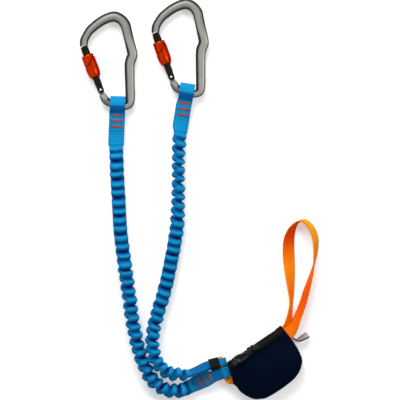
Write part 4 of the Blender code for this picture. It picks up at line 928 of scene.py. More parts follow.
def stitch_rows(name, route, thickness):
    """Long stitches along the webbing on both faces, each dipping into it at both ends."""
    dip = np.array([-0.0004, -0.0001, 0, -0.0001, -0.0004])
    rows = []
    for start in STITCH_STARTS:
        place, _, normal, across = route.frames(start + np.linspace(0, STITCH_LENGTH, 5))
        for out in (-STITCH_OUT, STITCH_OUT):
            for face in (1, -1):
                level = face * (thickness + STITCH_RISE + dip)
                rows.append(place + across * out + normal * level[:, None])
    sewing = material("dark_blue_sewing_thread", bonded_thread, linear("#04204f"))
    dress(tubes(name, rows, STITCH_THREAD, sewing), "pouch")


def keeper(settings):
    """The black elastic band round the right arm's lower eye, a closed hoop with a slight bulge."""
    eye, route = LOWER_EYES["right"], Route(STRANDS["right"], turned_back=True)
    fars = np.linspace(KEEPER_START, KEEPER_END, KEEPER_RINGS)
    out, up = shaped(KEEPER_POINTS, 0.3, 0.5)
    place, _, normal, across = route.frames(fars)
    bulge = KEEPER_BULGE * np.sin(np.linspace(0, np.pi, KEEPER_RINGS))
    high = eye_height(fars, eye, settings.thickness) + settings.thickness / 2 + KEEPER_CLEARANCE
    wide = lower_width("right", fars) / 2 + KEEPER_CLEARANCE
    inner, outer = (
        rings_round(place, (normal, up * (high + grow)[:, None]), (across, out * (wide + grow)[:, None]))
        for grow in (0 * bulge, KEEPER_THICKNESS + bulge)
    )
    rings = np.concatenate([inner, outer[::-1]])
    marks = np.zeros((*rings.shape[:2], 3))
    marks[:, :, 0] = np.concatenate([fars, fars[::-1]])[:, None]
    marks[:, :, 1] = np.arange(KEEPER_POINTS) * KEEPER_POINT_GAP
    band = material("black_elastic_band", woven_tape, linear("#1a1a1c"), 1.2 * MM)
    piece = skin("keeper_band", rings, band, {"weave": marks}, closed=True)
    dress(piece, "pouch", ["arm_keeper"])


class LANYARD_OT_upper_eyes(bpy.types.Operator):
    """Adds the sewn eyes that hold the carabiners, with their bar tacks"""

    bl_idname = "lanyard.add_upper_eyes"
    bl_label = "Upper eyes"

    def execute(self, context):
        settings = context.scene.lanyard_arms
        for side in SIDES:
            route = Route(STRANDS[side])
            piece = sewn_eye(
                f"sewn_eye_upper_{side}", route, UPPER_EYE,
                lambda far, side=side: upper_width(side, far, settings),
                UPPER_LIGHT_PAINT, settings, BACK_SLIP[side],
            )  # fmt: skip
            dress(piece, f"arm_end_{side}", [f"upper_eye_{side}"])
            if side == "left":
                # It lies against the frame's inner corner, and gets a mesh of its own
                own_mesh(piece)
            bar_tacks(
                f"bar_tacks_upper_{side}", route, UPPER_TACKS[side], UPPER_TACK_WIDTH,
                lambda far: eye_height(far, UPPER_EYE, settings.thickness) + settings.thickness / 2,
                settings, f"arm_end_{side}",
            )  # fmt: skip
        return {"FINISHED"}


class LANYARD_OT_lower_eyes(bpy.types.Operator):
    """Adds the arms' lower eyes, which go round the lanyard loop, their stitching and the black keeper"""

    bl_idname = "lanyard.add_lower_eyes"
    bl_label = "Lower eyes and keeper"

    def execute(self, context):
        settings = context.scene.lanyard_arms
        for side in SIDES:
            route = Route(STRANDS[side], turned_back=True)
            piece = sewn_eye(
                f"sewn_eye_lower_{side}", route, LOWER_EYES[side],
                lambda far, side=side: lower_width(side, far), LOWER_LIGHT_PAINT[side], settings,
            )  # fmt: skip
            dress(piece, "pouch", [f"lower_eye_{side}"])
            if side == "left":
                bar_tacks(
                    "bar_tacks_lower_left", route, LOWER_TACKS, LOWER_TACK_WIDTH,
                    lambda far: settings.thickness + LAYER_GAP, settings, "pouch",
                )  # fmt: skip
            else:
                stitch_rows("stitch_rows_lower_right", route, settings.thickness)
        keeper(settings)
        return {"FINISHED"}


# Carabiners

FRAME_RINGS, FRAME_POINTS = 190, 36
TONGUE_RADIUS, TONGUE_HALF = 0.0034, 0.0014  # the thin end between the gate's fork, and half its thickness
# The nose's key, from its tip down: its distance from the nose and half its width
KEY_ROWS = ((0.0036, 0.0029), (0.0035, 0.0031), (0.0020, 0.0031), (0.0018, 0.0022), (0.0, 0.0022))
# The nose's turned ring: along the frame, and in shares of the nose's size
NOSE_ROWS = ((0.0, 0.93), (0.0002, 0.98), (0.0008, 0.98), (0.0009, 1.0))
TURNED_RING = slice(5, 9)
BARE_RINGS, TONGUE_RINGS = 6, 10  # rings from each end that are left bare
# Three corners of the sloping facet beside the hinge, and the part of the frame that it planes
FACET_CORNERS = ((-0.0200, 0.0107, 0.0031), (-0.0086, 0.0045, 0.0043), (-0.0118, 0.0125, 0.0014))
FACET_LOW, FACET_HIGH = (-0.022, 0.001), (-0.004, 0.018)
RIVET_HOLE_RADIUS, RIVET_HOLE_DEPTH = 0.0018, 0.006
GATE_NOSE_GAP = 0.0006
GATE_CUT_HALF = 0.0063  # wider than the gate
FORK_HALF, FORK_DEPTH = 0.0017, 0.0052  # half the fork's slot, and how far it reaches past the rivet
KEYWAY_DEPTH = 0.0036
CHEEK_HALF, CHEEK_LENGTH = 0.0038, 0.0078
GATE_END_RADIUS, GATE_BEVEL = 0.0043, 0.00025
HEAD_SHARE, HEAD_GROOVES = 1.12, (0.0040, 0.0052)  # the head's radius, and its grooves down from its tip
COLLAR_DOWN, COLLAR_RADIUS = 0.0015, 0.0052  # the collar under the sleeve
# The rivet from its head's middle plane out: along its axis, and its radius
RIVET_ROWS = (
    (0.0046, 0.0003), (0.00456, 0.0006), (0.0044, 0.0009), (0.0042, 0.0011), (0.0039, 0.00123),
    (0.0036, 0.0013),
)  # fmt: skip
SLEEVE_BORE_GAP, SLEEVE_POINTS = 0.0002, 80
SLEEVE_COLLAR_DROP = 0.0004  # how much slimmer the sleeve is above its step
STEP_UP, STEP_SLANT, STEP_RAMP = 0.0161, 0.0030, 0.0048  # the step's height, and how it slants and ramps up


def frame_matrix(side):
    return Matrix.Translation(BASKETS[side]) @ Matrix.Rotation(TURNS[side], 4, "Z")


def gate_matrix(side, settings):
    """From the gate's own frame, with Y from the rivet to the nose, to the row frame, and its length."""
    rivet = Vector((*RIVET_SHARES, 0)) * settings.length
    nose = Vector((*FRAME_LINE_SHARES[0][:2], 0)) * settings.length
    way = nose - rivet
    turn = Matrix.Rotation(math.atan2(way.y, way.x) - math.pi / 2, 4, "Z")
    return frame_matrix(side) @ Matrix.Translation(rivet) @ turn, way.length


def subtract(piece, solids, name):
    """Takes the solids out of the piece with exact Booleans and applies them."""
    for number, bm in enumerate(solids):
        mesh = bpy.data.meshes.new(f"{name}_{number}")
        bm.to_mesh(mesh)
        bm.free()
        tool = bpy.data.objects.new(mesh.name, mesh)
        bpy.context.scene.collection.objects.link(tool)
        change = piece.modifiers.new(mesh.name, "BOOLEAN")
        change.operation, change.solver, change.object = "DIFFERENCE", "EXACT", tool
        bpy.context.view_layer.update()
        result = bpy.data.meshes.new_from_object(piece.evaluated_get(bpy.context.evaluated_depsgraph_get()))
        piece.modifiers.clear()
        piece.data = result
        bpy.data.objects.remove(tool)


def box_solid(low, high):
    bm = bmesh.new()
    size = [b - a for a, b in zip(low, high)]
    middle = [(a + b) / 2 for a, b in zip(low, high)]
    bmesh.ops.create_cube(bm, size=1, matrix=Matrix.Translation(middle) @ Matrix.Diagonal((*size, 1)))
    return bm


def pin_solid(radius, depth, matrix=Matrix()):
    bm = bmesh.new()
    bmesh.ops.create_cone(
        bm, cap_ends=True, segments=32, radius1=radius, radius2=radius, depth=depth, matrix=matrix
    )
    return bm


def turned_rings(profile, sides):
    """Rings about the Y axis for a profile of distances and radii; a distance may depend on the turn."""
    angles = 2 * np.pi * np.arange(sides) / sides
    return [
        np.column_stack([
            radius * np.cos(angles), along(angles) if callable(along) else np.full(sides, along),
            radius * np.sin(angles),
        ])
        for along, radius in profile
    ]  # fmt: skip


def frame_rings(settings):
    """The frame's sections: its key and nose, the bow, the spine and basket, and the tongue at the hinge."""
    line = smooth(FRAME_LINE_SHARES, FRAME_RINGS)
    line[:, :3] *= settings.length
    ways = unit(np.gradient(line[:, :2], axis=0))
    share = np.linspace(0, 1, FRAME_RINGS)
    bow = np.sin(np.pi * np.minimum(1, share / 0.75)) ** 0.6
    depth = settings.nose_depth + (settings.depth - settings.nose_depth) * bow
    gain = settings.nose_depth - settings.basket_depth
    basket = settings.basket_depth + gain * eased((share - 0.9) / 0.1)
    depth = np.where(share > 0.75, basket, depth)
    rivet = np.array(RIVET_SHARES) * settings.length
    nose = line[0, :2]
    along = unit(nose - rivet)
    across = np.array([along[1], -along[0]])
    rings = []

    def ring(middle, side, half_width, half_depth, flatness):
        out, up = shaped(FRAME_POINTS, flatness, flatness)
        rings.append(np.column_stack([middle + side * (out * half_width)[:, None], up * half_depth]))

    for far, half in KEY_ROWS:
        ring(nose - along * far, across, half, TONGUE_HALF, 0.5)
    # The nose's end is square to the gate
    for far, part in NOSE_ROWS:
        ring(nose + ways[0] * far, across, line[0, 2] / 2 * part, settings.nose_depth / 2 * part, line[0, 3])
    for (x, y, width, flatness), (dx, dy), deep in zip(line[1:], ways[1:], depth[1:]):
        ring(np.array([x, y]), np.array([dy, -dx]), width / 2, deep / 2, flatness)
    end = line[-1, :2]
    way = unit(rivet - end)
    reach = np.linalg.norm(rivet - end)
    tongue = [(0, 0.9), (reach - TONGUE_RADIUS * 0.3, 1.0)]
    tongue += [(reach + TONGUE_RADIUS * math.sin(a), math.cos(a)) for a in np.linspace(0.2, 1.45, 7)]
    for far, part in tongue:
        ring(end + way * far, np.array([way[1], -way[0]]), TONGUE_RADIUS * part, TONGUE_HALF, 0.5)
    return np.array(rings)


def frame_shade_paint(rings):
    """Painted shade: 1 on the frame's faces and 0 round its sides, darker on the bow's outside and the
    basket.
    """
    out = shaped(rings.shape[1], 1, 1)[0] * np.ones(len(rings))[:, None]
    share = np.linspace(0, 1, len(rings))[:, None]
    bow, basket = eased((0.36 - np.abs(share - 0.16)) / 0.12), eased((share - 0.82) / 0.08)
    inner_rim = eased((out - 0.06 - 0.24 * bow) / (0.40 + 0.14 * bow))
    outer_rim = (1 - bow) * eased((-out - 0.44) / 0.46) + bow * eased((-out - 0.02) / 0.66)
    return (1 - np.maximum(inner_rim, outer_rim)) * (1 - 0.5 * basket - 0.14 * bow)


def plane_facets(piece, rings, settings):
    """Planes the sloping facets beside the hinge, and marks the bare faces there and at the nose."""
    scale = settings.length / FRAME_LENGTH
    corners = [Vector(corner) * scale for corner in FACET_CORNERS]
    (low_x, low_y), (high_x, high_y) = FACET_LOW, FACET_HIGH
    normal = (corners[1] - corners[0]).cross(corners[2] - corners[0])
    mesh = piece.data
    planed = set()
    for vertex in mesh.vertices:
        x, y, z = vertex.co
        if not (low_x * scale < x < high_x * scale and low_y * scale < y < high_y * scale):
            continue
        plane = corners[0].z - (normal.x * (x - corners[0].x) + normal.y * (y - corners[0].y)) / normal.z
        plane = max(plane, TONGUE_HALF)
        if abs(z) > plane:
            vertex.co.z = math.copysign(plane, z)
            planed.add(vertex.index)
    for face in mesh.polygons:
        number = min(face.vertices) // rings.shape[1]
        facet = sum(v in planed for v in face.vertices) >= 3 and abs(face.normal.z) > 0.6
        face.material_index = int(number <= BARE_RINGS or number > len(rings) - TONGUE_RINGS or facet)


class LANYARD_OT_frames(bpy.types.Operator):
    """Adds the carabiners' forged frames, with their machined nose and hinge"""

    bl_idname = "lanyard.add_carabiner_frames"
    bl_label = "Carabiner frames"

    def execute(self, context):
        settings = context.scene.lanyard_carabiners
        grey = material("bead_blasted_grey_anodised_aluminium", bead_blasted_aluminium, settings)
        bare = material("bare_machined_aluminium", machined_aluminium, settings)
        rings = frame_rings(settings)
        polish = np.zeros(rings.shape[:2])
        polish[TURNED_RING] = 1
        # The crown marks paint shade round the frame's sides
        marks = {"crown": frame_shade_paint(rings), "polish": polish}
        for side in SIDES:
            piece = skin(f"forged_frame_{side}", rings, [grey, bare], marks)
            plane_facets(piece, rings, settings)
            piece.data.transform(frame_matrix(side))
            piece.data.set_sharp_from_angle(angle=math.radians(38))
            pin = pin_solid(RIVET_HOLE_RADIUS, RIVET_HOLE_DEPTH, gate_matrix(side, settings)[0])
            subtract(piece, [pin], "rivet_hole")
            dress(piece, f"carabiner_{side}", [f"carabiner_frame_{side}"])
        return {"FINISHED"}


def gate_profile(settings, length):
    """Down the gate from its tip: two turned grooves, the collar under the sleeve and the hinge end."""
    radius = settings.gate_radius
    head = radius * HEAD_SHARE
    sleeve_top = settings.sleeve_start + settings.sleeve_length
    collar = settings.sleeve_start - COLLAR_DOWN
    rows = [(length, head * 0.6), (length - 0.0001, head * 0.88), (length - 0.0006, head)]
    for down in HEAD_GROOVES:
        rows += [(length - down + far, head * part) for far, part in (
            (0.0003, 1), (0.0001, 0.93), (-0.0001, 0.93), (-0.0003, 1),
        )]  # fmt: skip
    rows += [
        (sleeve_top + 0.0008, head), (sleeve_top + 0.0002, radius), (settings.sleeve_start, radius),
        (settings.sleeve_start - 0.0002, radius), (collar + 0.0011, COLLAR_RADIUS - 0.0002),
        (collar + 0.0009, COLLAR_RADIUS), (collar + 0.0002, COLLAR_RADIUS), (collar, COLLAR_RADIUS - 0.0002),
        (collar - 0.0003, radius), (0.0020, radius),
    ]  # fmt: skip
    turns = np.linspace(1.25, 0.12, 9)
    return rows + [(-GATE_END_RADIUS * math.cos(a), GATE_END_RADIUS * math.sin(a)) for a in turns]


class LANYARD_OT_gates(bpy.types.Operator):
    """Adds the black gates with their forks, and the steel rivets that they turn on"""

    bl_idname = "lanyard.add_gates"
    bl_label = "Gates and rivets"

    def execute(self, context):
        settings = context.scene.lanyard_carabiners
        black = material("black_anodised_aluminium", dyed_anodising, settings.gate_colour, 0.26)
        wide = GATE_CUT_HALF
        for side in SIDES:
            matrix, length = gate_matrix(side, settings)
            length -= GATE_NOSE_GAP
            piece = skin(f"machined_gate_{side}", turned_rings(gate_profile(settings, length), 48), black)
            tools = [
                box_solid((-wide, -wide, -FORK_HALF), (wide, FORK_DEPTH, FORK_HALF)),
                box_solid((-wide, length - KEYWAY_DEPTH, -FORK_HALF), (wide, length + wide, FORK_HALF)),
                box_solid((-wide, -wide, CHEEK_HALF), (wide, CHEEK_LENGTH, wide)),
                box_solid((-wide, -wide, -wide), (wide, CHEEK_LENGTH, -CHEEK_HALF)),
                pin_solid(RIVET_HOLE_RADIUS - 0.0002, 2 * wide),
            ]
            subtract(piece, tools, "gate_cut")
            bevel = piece.modifiers.new("edges", "BEVEL")
            bevel.width, bevel.segments = GATE_BEVEL, 2
            bevel.limit_method, bevel.angle_limit = "ANGLE", math.radians(50)
            piece.data.transform(matrix)
            piece.data.shade_smooth()
            piece.data.set_sharp_from_angle(angle=math.radians(35))
            dress(piece, f"gate_{side}", [f"gate_{side}"])

            profile = [*RIVET_ROWS, *((-along, radius) for along, radius in reversed(RIVET_ROWS))]
            rings = [ring[:, [0, 2, 1]] for ring in turned_rings(profile, 32)]
            rivet = skin(f"steel_rivet_{side}", rings, material("turned_stainless_steel", turned_steel))
            rivet.data.transform(matrix)
            rivet.data.set_sharp_from_angle(angle=math.radians(35))
            dress(rivet, f"carabiner_{side}", [f"gate_rivet_{side}"])
        return {"FINISHED"}


def sleeve_rows(settings):
    """Up the sleeve from its lower end: along the gate, radius, and its painted shade in the step's groove.
    """
    start, top = settings.sleeve_start, settings.sleeve_start + settings.sleeve_length
    full, upper = settings.sleeve_radius, settings.sleeve_radius - SLEEVE_COLLAR_DROP
    bore = settings.gate_radius + SLEEVE_BORE_GAP

    def step(extra):
        return lambda turn: (
            start + STEP_UP + STEP_SLANT * np.cos(turn) + STEP_RAMP * eased(np.cos(turn) / 0.8) + extra
        )

    return [
        (start, 0.0056, 0), (start + 0.0002, 0.0060, 0), (start + 0.0008, 0.0064, 0),
        (start + 0.0034, 0.0071, 0), (start + 0.0062, full - 0.0001, 0), (start + 0.0095, full, 0),
        (step(-0.0012), full, 0), (step(-0.0003), full, 0), (step(-0.0001), full - 0.0002, 0.5),
        (step(0.0), full - 0.0011, 1), (step(0.0001), upper - 0.0011, 1),
        (step(0.0006), upper - 0.0011, 1), (step(0.0007), upper - 0.0003, 0.3),
        (step(0.0011), upper, 0), (top - 0.0014, upper, 0), (top - 0.0009, upper - 0.0001, 0),
        (top - 0.0003, upper - 0.0004, 0), (top, upper - 0.0009, 0), (top, bore, 0), (start, bore, 0),
    ]  # fmt: skip


class LANYARD_OT_sleeves(bpy.types.Operator):
    """Adds the orange twist sleeves, each with its slanting step"""

    bl_idname = "lanyard.add_locking_sleeves"
    bl_label = "Locking sleeves"

    def execute(self, context):
        settings = context.scene.lanyard_carabiners
        orange = material("orange_anodised_aluminium", dyed_anodising, settings.sleeve_colour, 0.2)
        rows = sleeve_rows(settings)
        # The groove marks paint shade into the step's groove
        groove = np.repeat(np.array([row[2] for row in rows], float)[:, None], SLEEVE_POINTS, 1)
        rings = turned_rings([row[:2] for row in rows], SLEEVE_POINTS)
        for side in SIDES:
            piece = skin(f"twist_sleeve_{side}", rings, orange, {"groove": groove}, closed=True)
            piece.data.transform(gate_matrix(side, settings)[0])
            piece.data.set_sharp_from_angle(angle=math.radians(30))
            dress(piece, f"sleeve_{side}", [f"locking_sleeve_{side}"])
        return {"FINISHED"}


class LANYARD_OT_springs(bpy.types.Operator):
    """Gives the springs and plungers inside the gates their steel"""

    bl_idname = "lanyard.finish_springs"
    bl_label = "Springs and plungers"

    def execute(self, context):
        for side in SIDES:
            for name in ("gate_spring", "gate_plunger", "sleeve_spring"):
                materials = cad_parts[f"{name}_{side}"].data.materials
                materials.clear()
                materials.append(material("turned_stainless_steel", turned_steel))
        return {"FINISHED"}


# Loops

BUNCHED_LENGTH, BUNCHED_DROP = 0.0186, 0.2  # how the harness loop narrows into the pouch's mouth
RIB_HEIGHT = 0.00007
# Painted light and shade along the harness loop on each of its faces: paler where lit, redder where shaded
UPPER_FACE_LIGHT_PAINT = (
    (0, 0.75), (0.12, 0.6), (0.30, 0.68), (0.40, 0.08), (0.50, 0.2), (0.62, 0.5), (0.8, 0.2), (1, 0.5),
)  # fmt: skip
LOWER_FACE_LIGHT_PAINT = (
    (0, 0.8), (0.12, 0.7), (0.34, 0.5), (0.42, 0.9), (0.54, 1.0), (0.66, 0.5), (0.8, 0.2), (1, 0.5),
)  # fmt: skip
LANYARD_DYE = 0.7
SPREAD, SPREAD_KEPT, SPREAD_FADE = 0.7, 0.010, 0.016  # how the lanyard loop narrows on its way to the eyes


def harness_loop(settings, finish):
    """The long sling: ribbed webbing that stands on edge round its bend and is bunched at the pouch."""
    route = Route(HARNESS_ROUTE)
    at = np.linspace(0, route.length, 340)
    place, _, normal, across = route.frames(at)
    bunched = 1 - eased(np.minimum(at, route.length - at) / BUNCHED_LENGTH)
    width = settings.harness_width * (1 - BUNCHED_DROP * bunched)
    ribs = RIB_HEIGHT * np.sin(at * 2 * np.pi / settings.rib)
    rings, marks = strap_rings(place, normal, across, settings.harness_thickness / 2 + ribs, width / 2, at)
    up = shaped(rings.shape[1], *STRAP_SECTION)[1]
    upper, lower = (np.interp(at / route.length, *zip(*dye))[:, None] for dye in (UPPER_FACE_LIGHT_PAINT, LOWER_FACE_LIGHT_PAINT))
    # Painted light and shade for the faces that look up and those that look down
    tone = upper * (up > 0) + lower * (up <= 0)
    piece = skin("harness_webbing_loop", rings, finish, {"weave": marks, "tone": tone})
    dress(piece, "pouch", ["harness_loop"])


def lanyard_loop(settings, finish):
    """The short sling: out of the pouch through both lower eyes, round, and back under them."""
    out, back = np.array(LOOP_OUT) * MM, np.array(LOOP_BACK) * MM
    way = unit(out[-1] - out[-2])
    drop = (out[-1, 2] - back[0, 2]) / 2
    angles = np.linspace(0, math.pi, 15)[:, None]
    bend = out[-1] + way * drop * np.sin(angles) - np.array([0, 0, 1]) * drop * (1 - np.cos(angles))
    lines, normals, sides = [], [], []
    for line, turn in ((smooth(out, 60), 1), (bend[1:-1], 0), (smooth([bend[-1], *back], 40), -1)):
        ahead = unit(np.gradient(line, axis=0))
        if turn:
            side = unit(np.column_stack([ahead[:, 1], -ahead[:, 0], 0 * ahead[:, 0]])) * turn
        else:
            side = np.tile(np.array([way[1], -way[0], 0]), (len(line), 1))
        lines.append(line)
        normals.append(unit(np.cross(side, ahead)))
        sides.append(side)
    line, normal, side = (np.concatenate(parts) for parts in (lines, normals, sides))
    along = distances(line)
    width = settings.loop_width * (1 + SPREAD * (1 - eased((along - SPREAD_KEPT) / SPREAD_FADE)))
    rings, marks = strap_rings(line, normal, side, settings.loop_thickness / 2, width / 2, along)
    tone = np.full(rings.shape[:2], LANYARD_DYE)
    piece = skin("lanyard_webbing_loop", rings, finish, {"weave": marks, "tone": tone})
    dress(piece, "pouch", ["lanyard_loop"])


class LANYARD_OT_loops(bpy.types.Operator):
    """Adds the long harness loop and the short lanyard loop of ribbed orange webbing"""

    bl_idname = "lanyard.add_loops"
    bl_label = "Webbing loops"

    def execute(self, context):
        settings = context.scene.lanyard_loops
        finish = material("orange_polyamide_webbing", orange_webbing, settings)
        harness_loop(settings, finish)
        lanyard_loop(settings, finish)
        return {"FINISHED"}


# Pouch

OUTLINE_STEPS = 1000
PANEL_POINTS, PANEL_RINGS = 176, 29
SEAM_GAP = 0.0008  # from the seam's middle to each panel's edge
MOUTH_LIFT, MOUTH_DROP = 0.0042, 0.0100  # how far the panels part at the mouths
FLAT_SHARE = 0.45  # the middle of the back lies flat
PUCKERS, PUCKER_HEIGHT = 31, 0.00035
FOLDS, FOLD_HEIGHT = 7, 0.0004
CLOTH_FRAMES, CLOTH_REACH = 26, 0.0022
PRESSURES = {"front": 0.6, "back": 0.1}
BINDING_POINTS, BINDING_RINGS = 18, 150
BINDING_HALF_WIDTH, BINDING_HALF_THICKNESS, BINDING_INSET, BINDING_TAPER = 0.0021, 0.0009, 0.0004, 0.012
# How much of each step its stitch covers, how far out the stitches lie, and their thread's radius
SEAM_STITCH_SHARE, SEAM_STITCH_OUT, SEAM_THREAD = 0.85, 0.0006, 0.00018


def pouch_place(shares, settings):
    """Points of the pouch in plan, from shares of its width and depth."""
    shares = np.asarray(shares, float)
    along = np.array([math.cos(POUCH_ANGLE), math.sin(POUCH_ANGLE)]) * settings.width
    down = np.array([math.sin(POUCH_ANGLE), -math.cos(POUCH_ANGLE)]) * settings.depth
    return POUCH_CORNER + shares[..., :1] * along + shares[..., 1:2] * down


def closed_outline(count):
    """The pouch's outline as evenly spaced shares, smooth through its start."""
    rows = POUCH_OUTLINE_SHARES
    looped = smooth([*rows[-2:], *rows, *rows[:3]], 2 * OUTLINE_STEPS)
    start, end = (
        half * OUTLINE_STEPS + np.argmin(np.linalg.norm(part - np.array(rows[0]), axis=1))
        for half, part in enumerate((looped[:OUTLINE_STEPS], looped[OUTLINE_STEPS:]))
    )
    return looped[np.linspace(start, end, count, endpoint=False).astype(int)]


def mouth(shares):
    """1 across a mouth of the pouch, 0 away from both."""
    left = shares[:, 0] < POUCH_CENTRE[0]
    centre = np.where(left, LEFT_MOUTH[0], RIGHT_MOUTH[0])
    half = np.where(left, LEFT_MOUTH[1], RIGHT_MOUTH[1])
    found = eased((1.25 - np.abs(shares[:, 1] - centre) / half) / 0.35)
    return np.where((shares[:, 0] > 0.12) & (shares[:, 0] < 0.86), 0, found)


def panel_levels(face, share, outline, settings):
    """Heights of one ring of a panel: a pillow that lifts at the mouths and puckers along its seam."""
    seam = settings.seam_level
    opened = mouth(outline) * eased((share - 0.5) / 0.5)
    turn = np.arange(len(outline)) / len(outline) * 2 * np.pi
    pucker = PUCKER_HEIGHT * np.sin(turn * PUCKERS) * math.sin(math.pi * min(1, share)) ** 2
    pucker = pucker + FOLD_HEIGHT * np.sin(turn * FOLDS + 1.3) * share * (1 - share) * 2
    pucker = pucker * eased((share - 0.45) / 0.3)
    if face == "front":
        level = seam + SEAM_GAP + settings.rise * (1 - share**2.6) ** 0.6 + pucker
        return np.maximum(level, seam + (MOUTH_LIFT + settings.wall) * opened)
    rise = 1.0 if share <= FLAT_SHARE else (1 - ((share - FLAT_SHARE) / (1 - FLAT_SHARE)) ** 2.8) ** 0.6
    level = (seam - SEAM_GAP) * (1 - rise) + np.abs(pucker)
    return np.clip(np.minimum(level, seam - SEAM_GAP - MOUTH_DROP * opened), 0, None)


def settled(piece, held, pressure):
    """Relaxes a piece with cloth under a slight pressure, some points held and none moved beyond reach."""
    scene, mesh = bpy.context.scene, piece.data
    piece.vertex_groups.new(name="held").add([int(i) for i in np.flatnonzero(held)], 1.0, "REPLACE")
    change = piece.modifiers.new("cloth", "CLOTH")
    cloth = change.settings
    cloth.vertex_group_mass = "held"
    cloth.quality, cloth.mass = 8, 0.12
    cloth.tension_stiffness = cloth.compression_stiffness = 18
    cloth.shear_stiffness, cloth.bending_stiffness = 6, 0.02
    cloth.shrink_min = -0.035  # the panel is cut a little larger than its seam, so it puckers
    cloth.use_pressure, cloth.uniform_pressure_force = True, pressure
    cloth.effector_weights.gravity = 0
    change.point_cache.frame_start, change.point_cache.frame_end = 1, CLOTH_FRAMES
    for number in range(1, CLOTH_FRAMES + 1):
        scene.frame_set(number)
    shape = piece.evaluated_get(bpy.context.evaluated_depsgraph_get()).data
    before, after = (np.empty(len(mesh.vertices) * 3) for _ in range(2))
    mesh.vertices.foreach_get("co", before)
    shape.vertices.foreach_get("co", after)
    moved = (after - before).reshape(-1, 3)
    moved *= np.minimum(1, CLOTH_REACH / np.maximum(np.linalg.norm(moved, axis=1, keepdims=True), 1e-9))
    piece.modifiers.remove(change)
    piece.vertex_groups.clear()
    scene.frame_set(1)
    found = before.reshape(-1, 3) + moved
    found[:, 2] = np.maximum(found[:, 2], 0)
    mesh.vertices.foreach_set("co", found.ravel())
    mesh.update()


def fabric_panel(face, settings):
    """One panel of coated fabric: rings from the seam to the middle, relaxed by the cloth pass."""
    outline = closed_outline(PANEL_POINTS)
    shares = 1 - np.linspace(0, 1, PANEL_RINGS + 1)[:-1] ** 1.35
    rings = [
        np.column_stack([
            pouch_place(POUCH_CENTRE + (outline - POUCH_CENTRE) * share, settings),
            panel_levels(face, share, outline, settings),
        ])
        for share in shares
    ]  # fmt: skip
    top = panel_levels(face, 0.0, outline[:1], settings)[0]
    verts = [*np.concatenate(rings), (*pouch_place(POUCH_CENTRE, settings), top)]
    last = (PANEL_RINGS - 1) * PANEL_POINTS
    faces = ring_faces(PANEL_RINGS, PANEL_POINTS)
    faces += [(last + i, last + (i + 1) % PANEL_POINTS, len(verts) - 1) for i in range(PANEL_POINTS)]
    finish = material("navy_coated_ripstop", coated_ripstop, settings)
    piece = mesh_object(f"fabric_{face}", verts, faces, finish)
    front = face == "front"
    if (piece.data.polygons[-1].normal.z > 0) != front:
        piece.data.flip_normals()
    # Its seam is held, and so are the stiff strip that the zip is sewn to and what lies on the floor
    centre = POUCH_CENTRE[1]
    down = np.concatenate([centre + (outline[:, 1] - centre) * share for share in shares])
    share_of = np.repeat(shares, PANEL_POINTS)
    held = np.append((share_of > 0.999) | (down < 0.15 if front else share_of < 0.6), not front)
    settled(piece, held, PRESSURES[face])
    wall = piece.modifiers.new("wall", "SOLIDIFY")
    wall.thickness, wall.offset = settings.wall * 0.8, -1
    dress(piece, "pouch", [f"pouch_{face}"])


def seam_binding(settings):
    """The tape folded over the panels' seam between the mouths, with its running stitch."""
    outline = closed_outline(400)
    kept = outline[(outline[:, 1] > 0.05) & (mouth(outline) < 0.02)]
    start = min(range(len(kept)), key=lambda i: (kept[i][0] < 0.5, kept[i][1]))
    plan = pouch_place(smooth(np.concatenate([kept[start:], kept[:start]]), BINDING_RINGS), settings)
    out = unit(np.column_stack([np.gradient(plan[:, 1]), -np.gradient(plan[:, 0])]))
    out *= np.sign(np.sum(out * (plan - pouch_place(POUCH_CENTRE, settings)), axis=1))[:, None]
    along = distances(plan)
    across, up = shaped(BINDING_POINTS, 0.55, 0.55)
    taper = 0.35 + 0.65 * eased(np.minimum(along, along[-1] - along) / BINDING_TAPER)[:, None]
    sideways = BINDING_HALF_THICKNESS * across * taper - BINDING_INSET
    levels = settings.seam_level + BINDING_HALF_WIDTH * up * taper
    rings = np.concatenate([plan[:, None] + out[:, None] * sideways[:, :, None], levels[:, :, None]], axis=2)
    marks = np.zeros((*rings.shape[:2], 3))
    marks[:, :, 0] = up * BINDING_HALF_WIDTH
    marks[:, :, 1] = along[:, None]
    tape = material("black_binding_tape", woven_tape, settings.tape_colour, 1.1 * MM)
    dress(skin("seam_binding", rings, tape, {"weave": marks}), "pouch", ["edge_binding"])

    level = settings.seam_level + BINDING_HALF_WIDTH + 0.0001
    stitches = []
    for number in range(2, BINDING_RINGS - 2, 2):
        start, end = plan[number], plan[number] + (plan[number + 1] - plan[number]) * SEAM_STITCH_SHARE
        outs = out[number], out[number], out[number + 1]
        places = start, (start + end) / 2, end
        stitches.append([
            (*(place + side * SEAM_STITCH_OUT), level + lift)
            for place, side, lift in zip(places, outs, (-0.0001, 0.00012, -0.0001))
        ])  # fmt: skip
    sewing = material("black_sewing_thread", bonded_thread, linear("#2c2d33"))
    dress(tubes("binding_stitches", stitches, SEAM_THREAD, sewing), "pouch")


class LANYARD_OT_pouch(bpy.types.Operator):
    """Adds the pouch's two pillowed panels and the tape that binds their seam"""

    bl_idname = "lanyard.add_pouch"
    bl_label = "Pouch and binding"

    def execute(self, context):
        settings = context.scene.lanyard_pouch
        for face in ("front", "back"):
            fabric_panel(face, settings)
        seam_binding(settings)
        return {"FINISHED"}


# Zip

ZIP_START, ZIP_END, ZIP_ROWS = -0.004, 0.880, 60
TAPE_WIDTH, TAPE_THICKNESS, TAPE_GAP = 0.0088, 0.0011, 0.0003
TAPE_WOVEN_HALF = 0.00425  # half the tapes' width without their edge threads
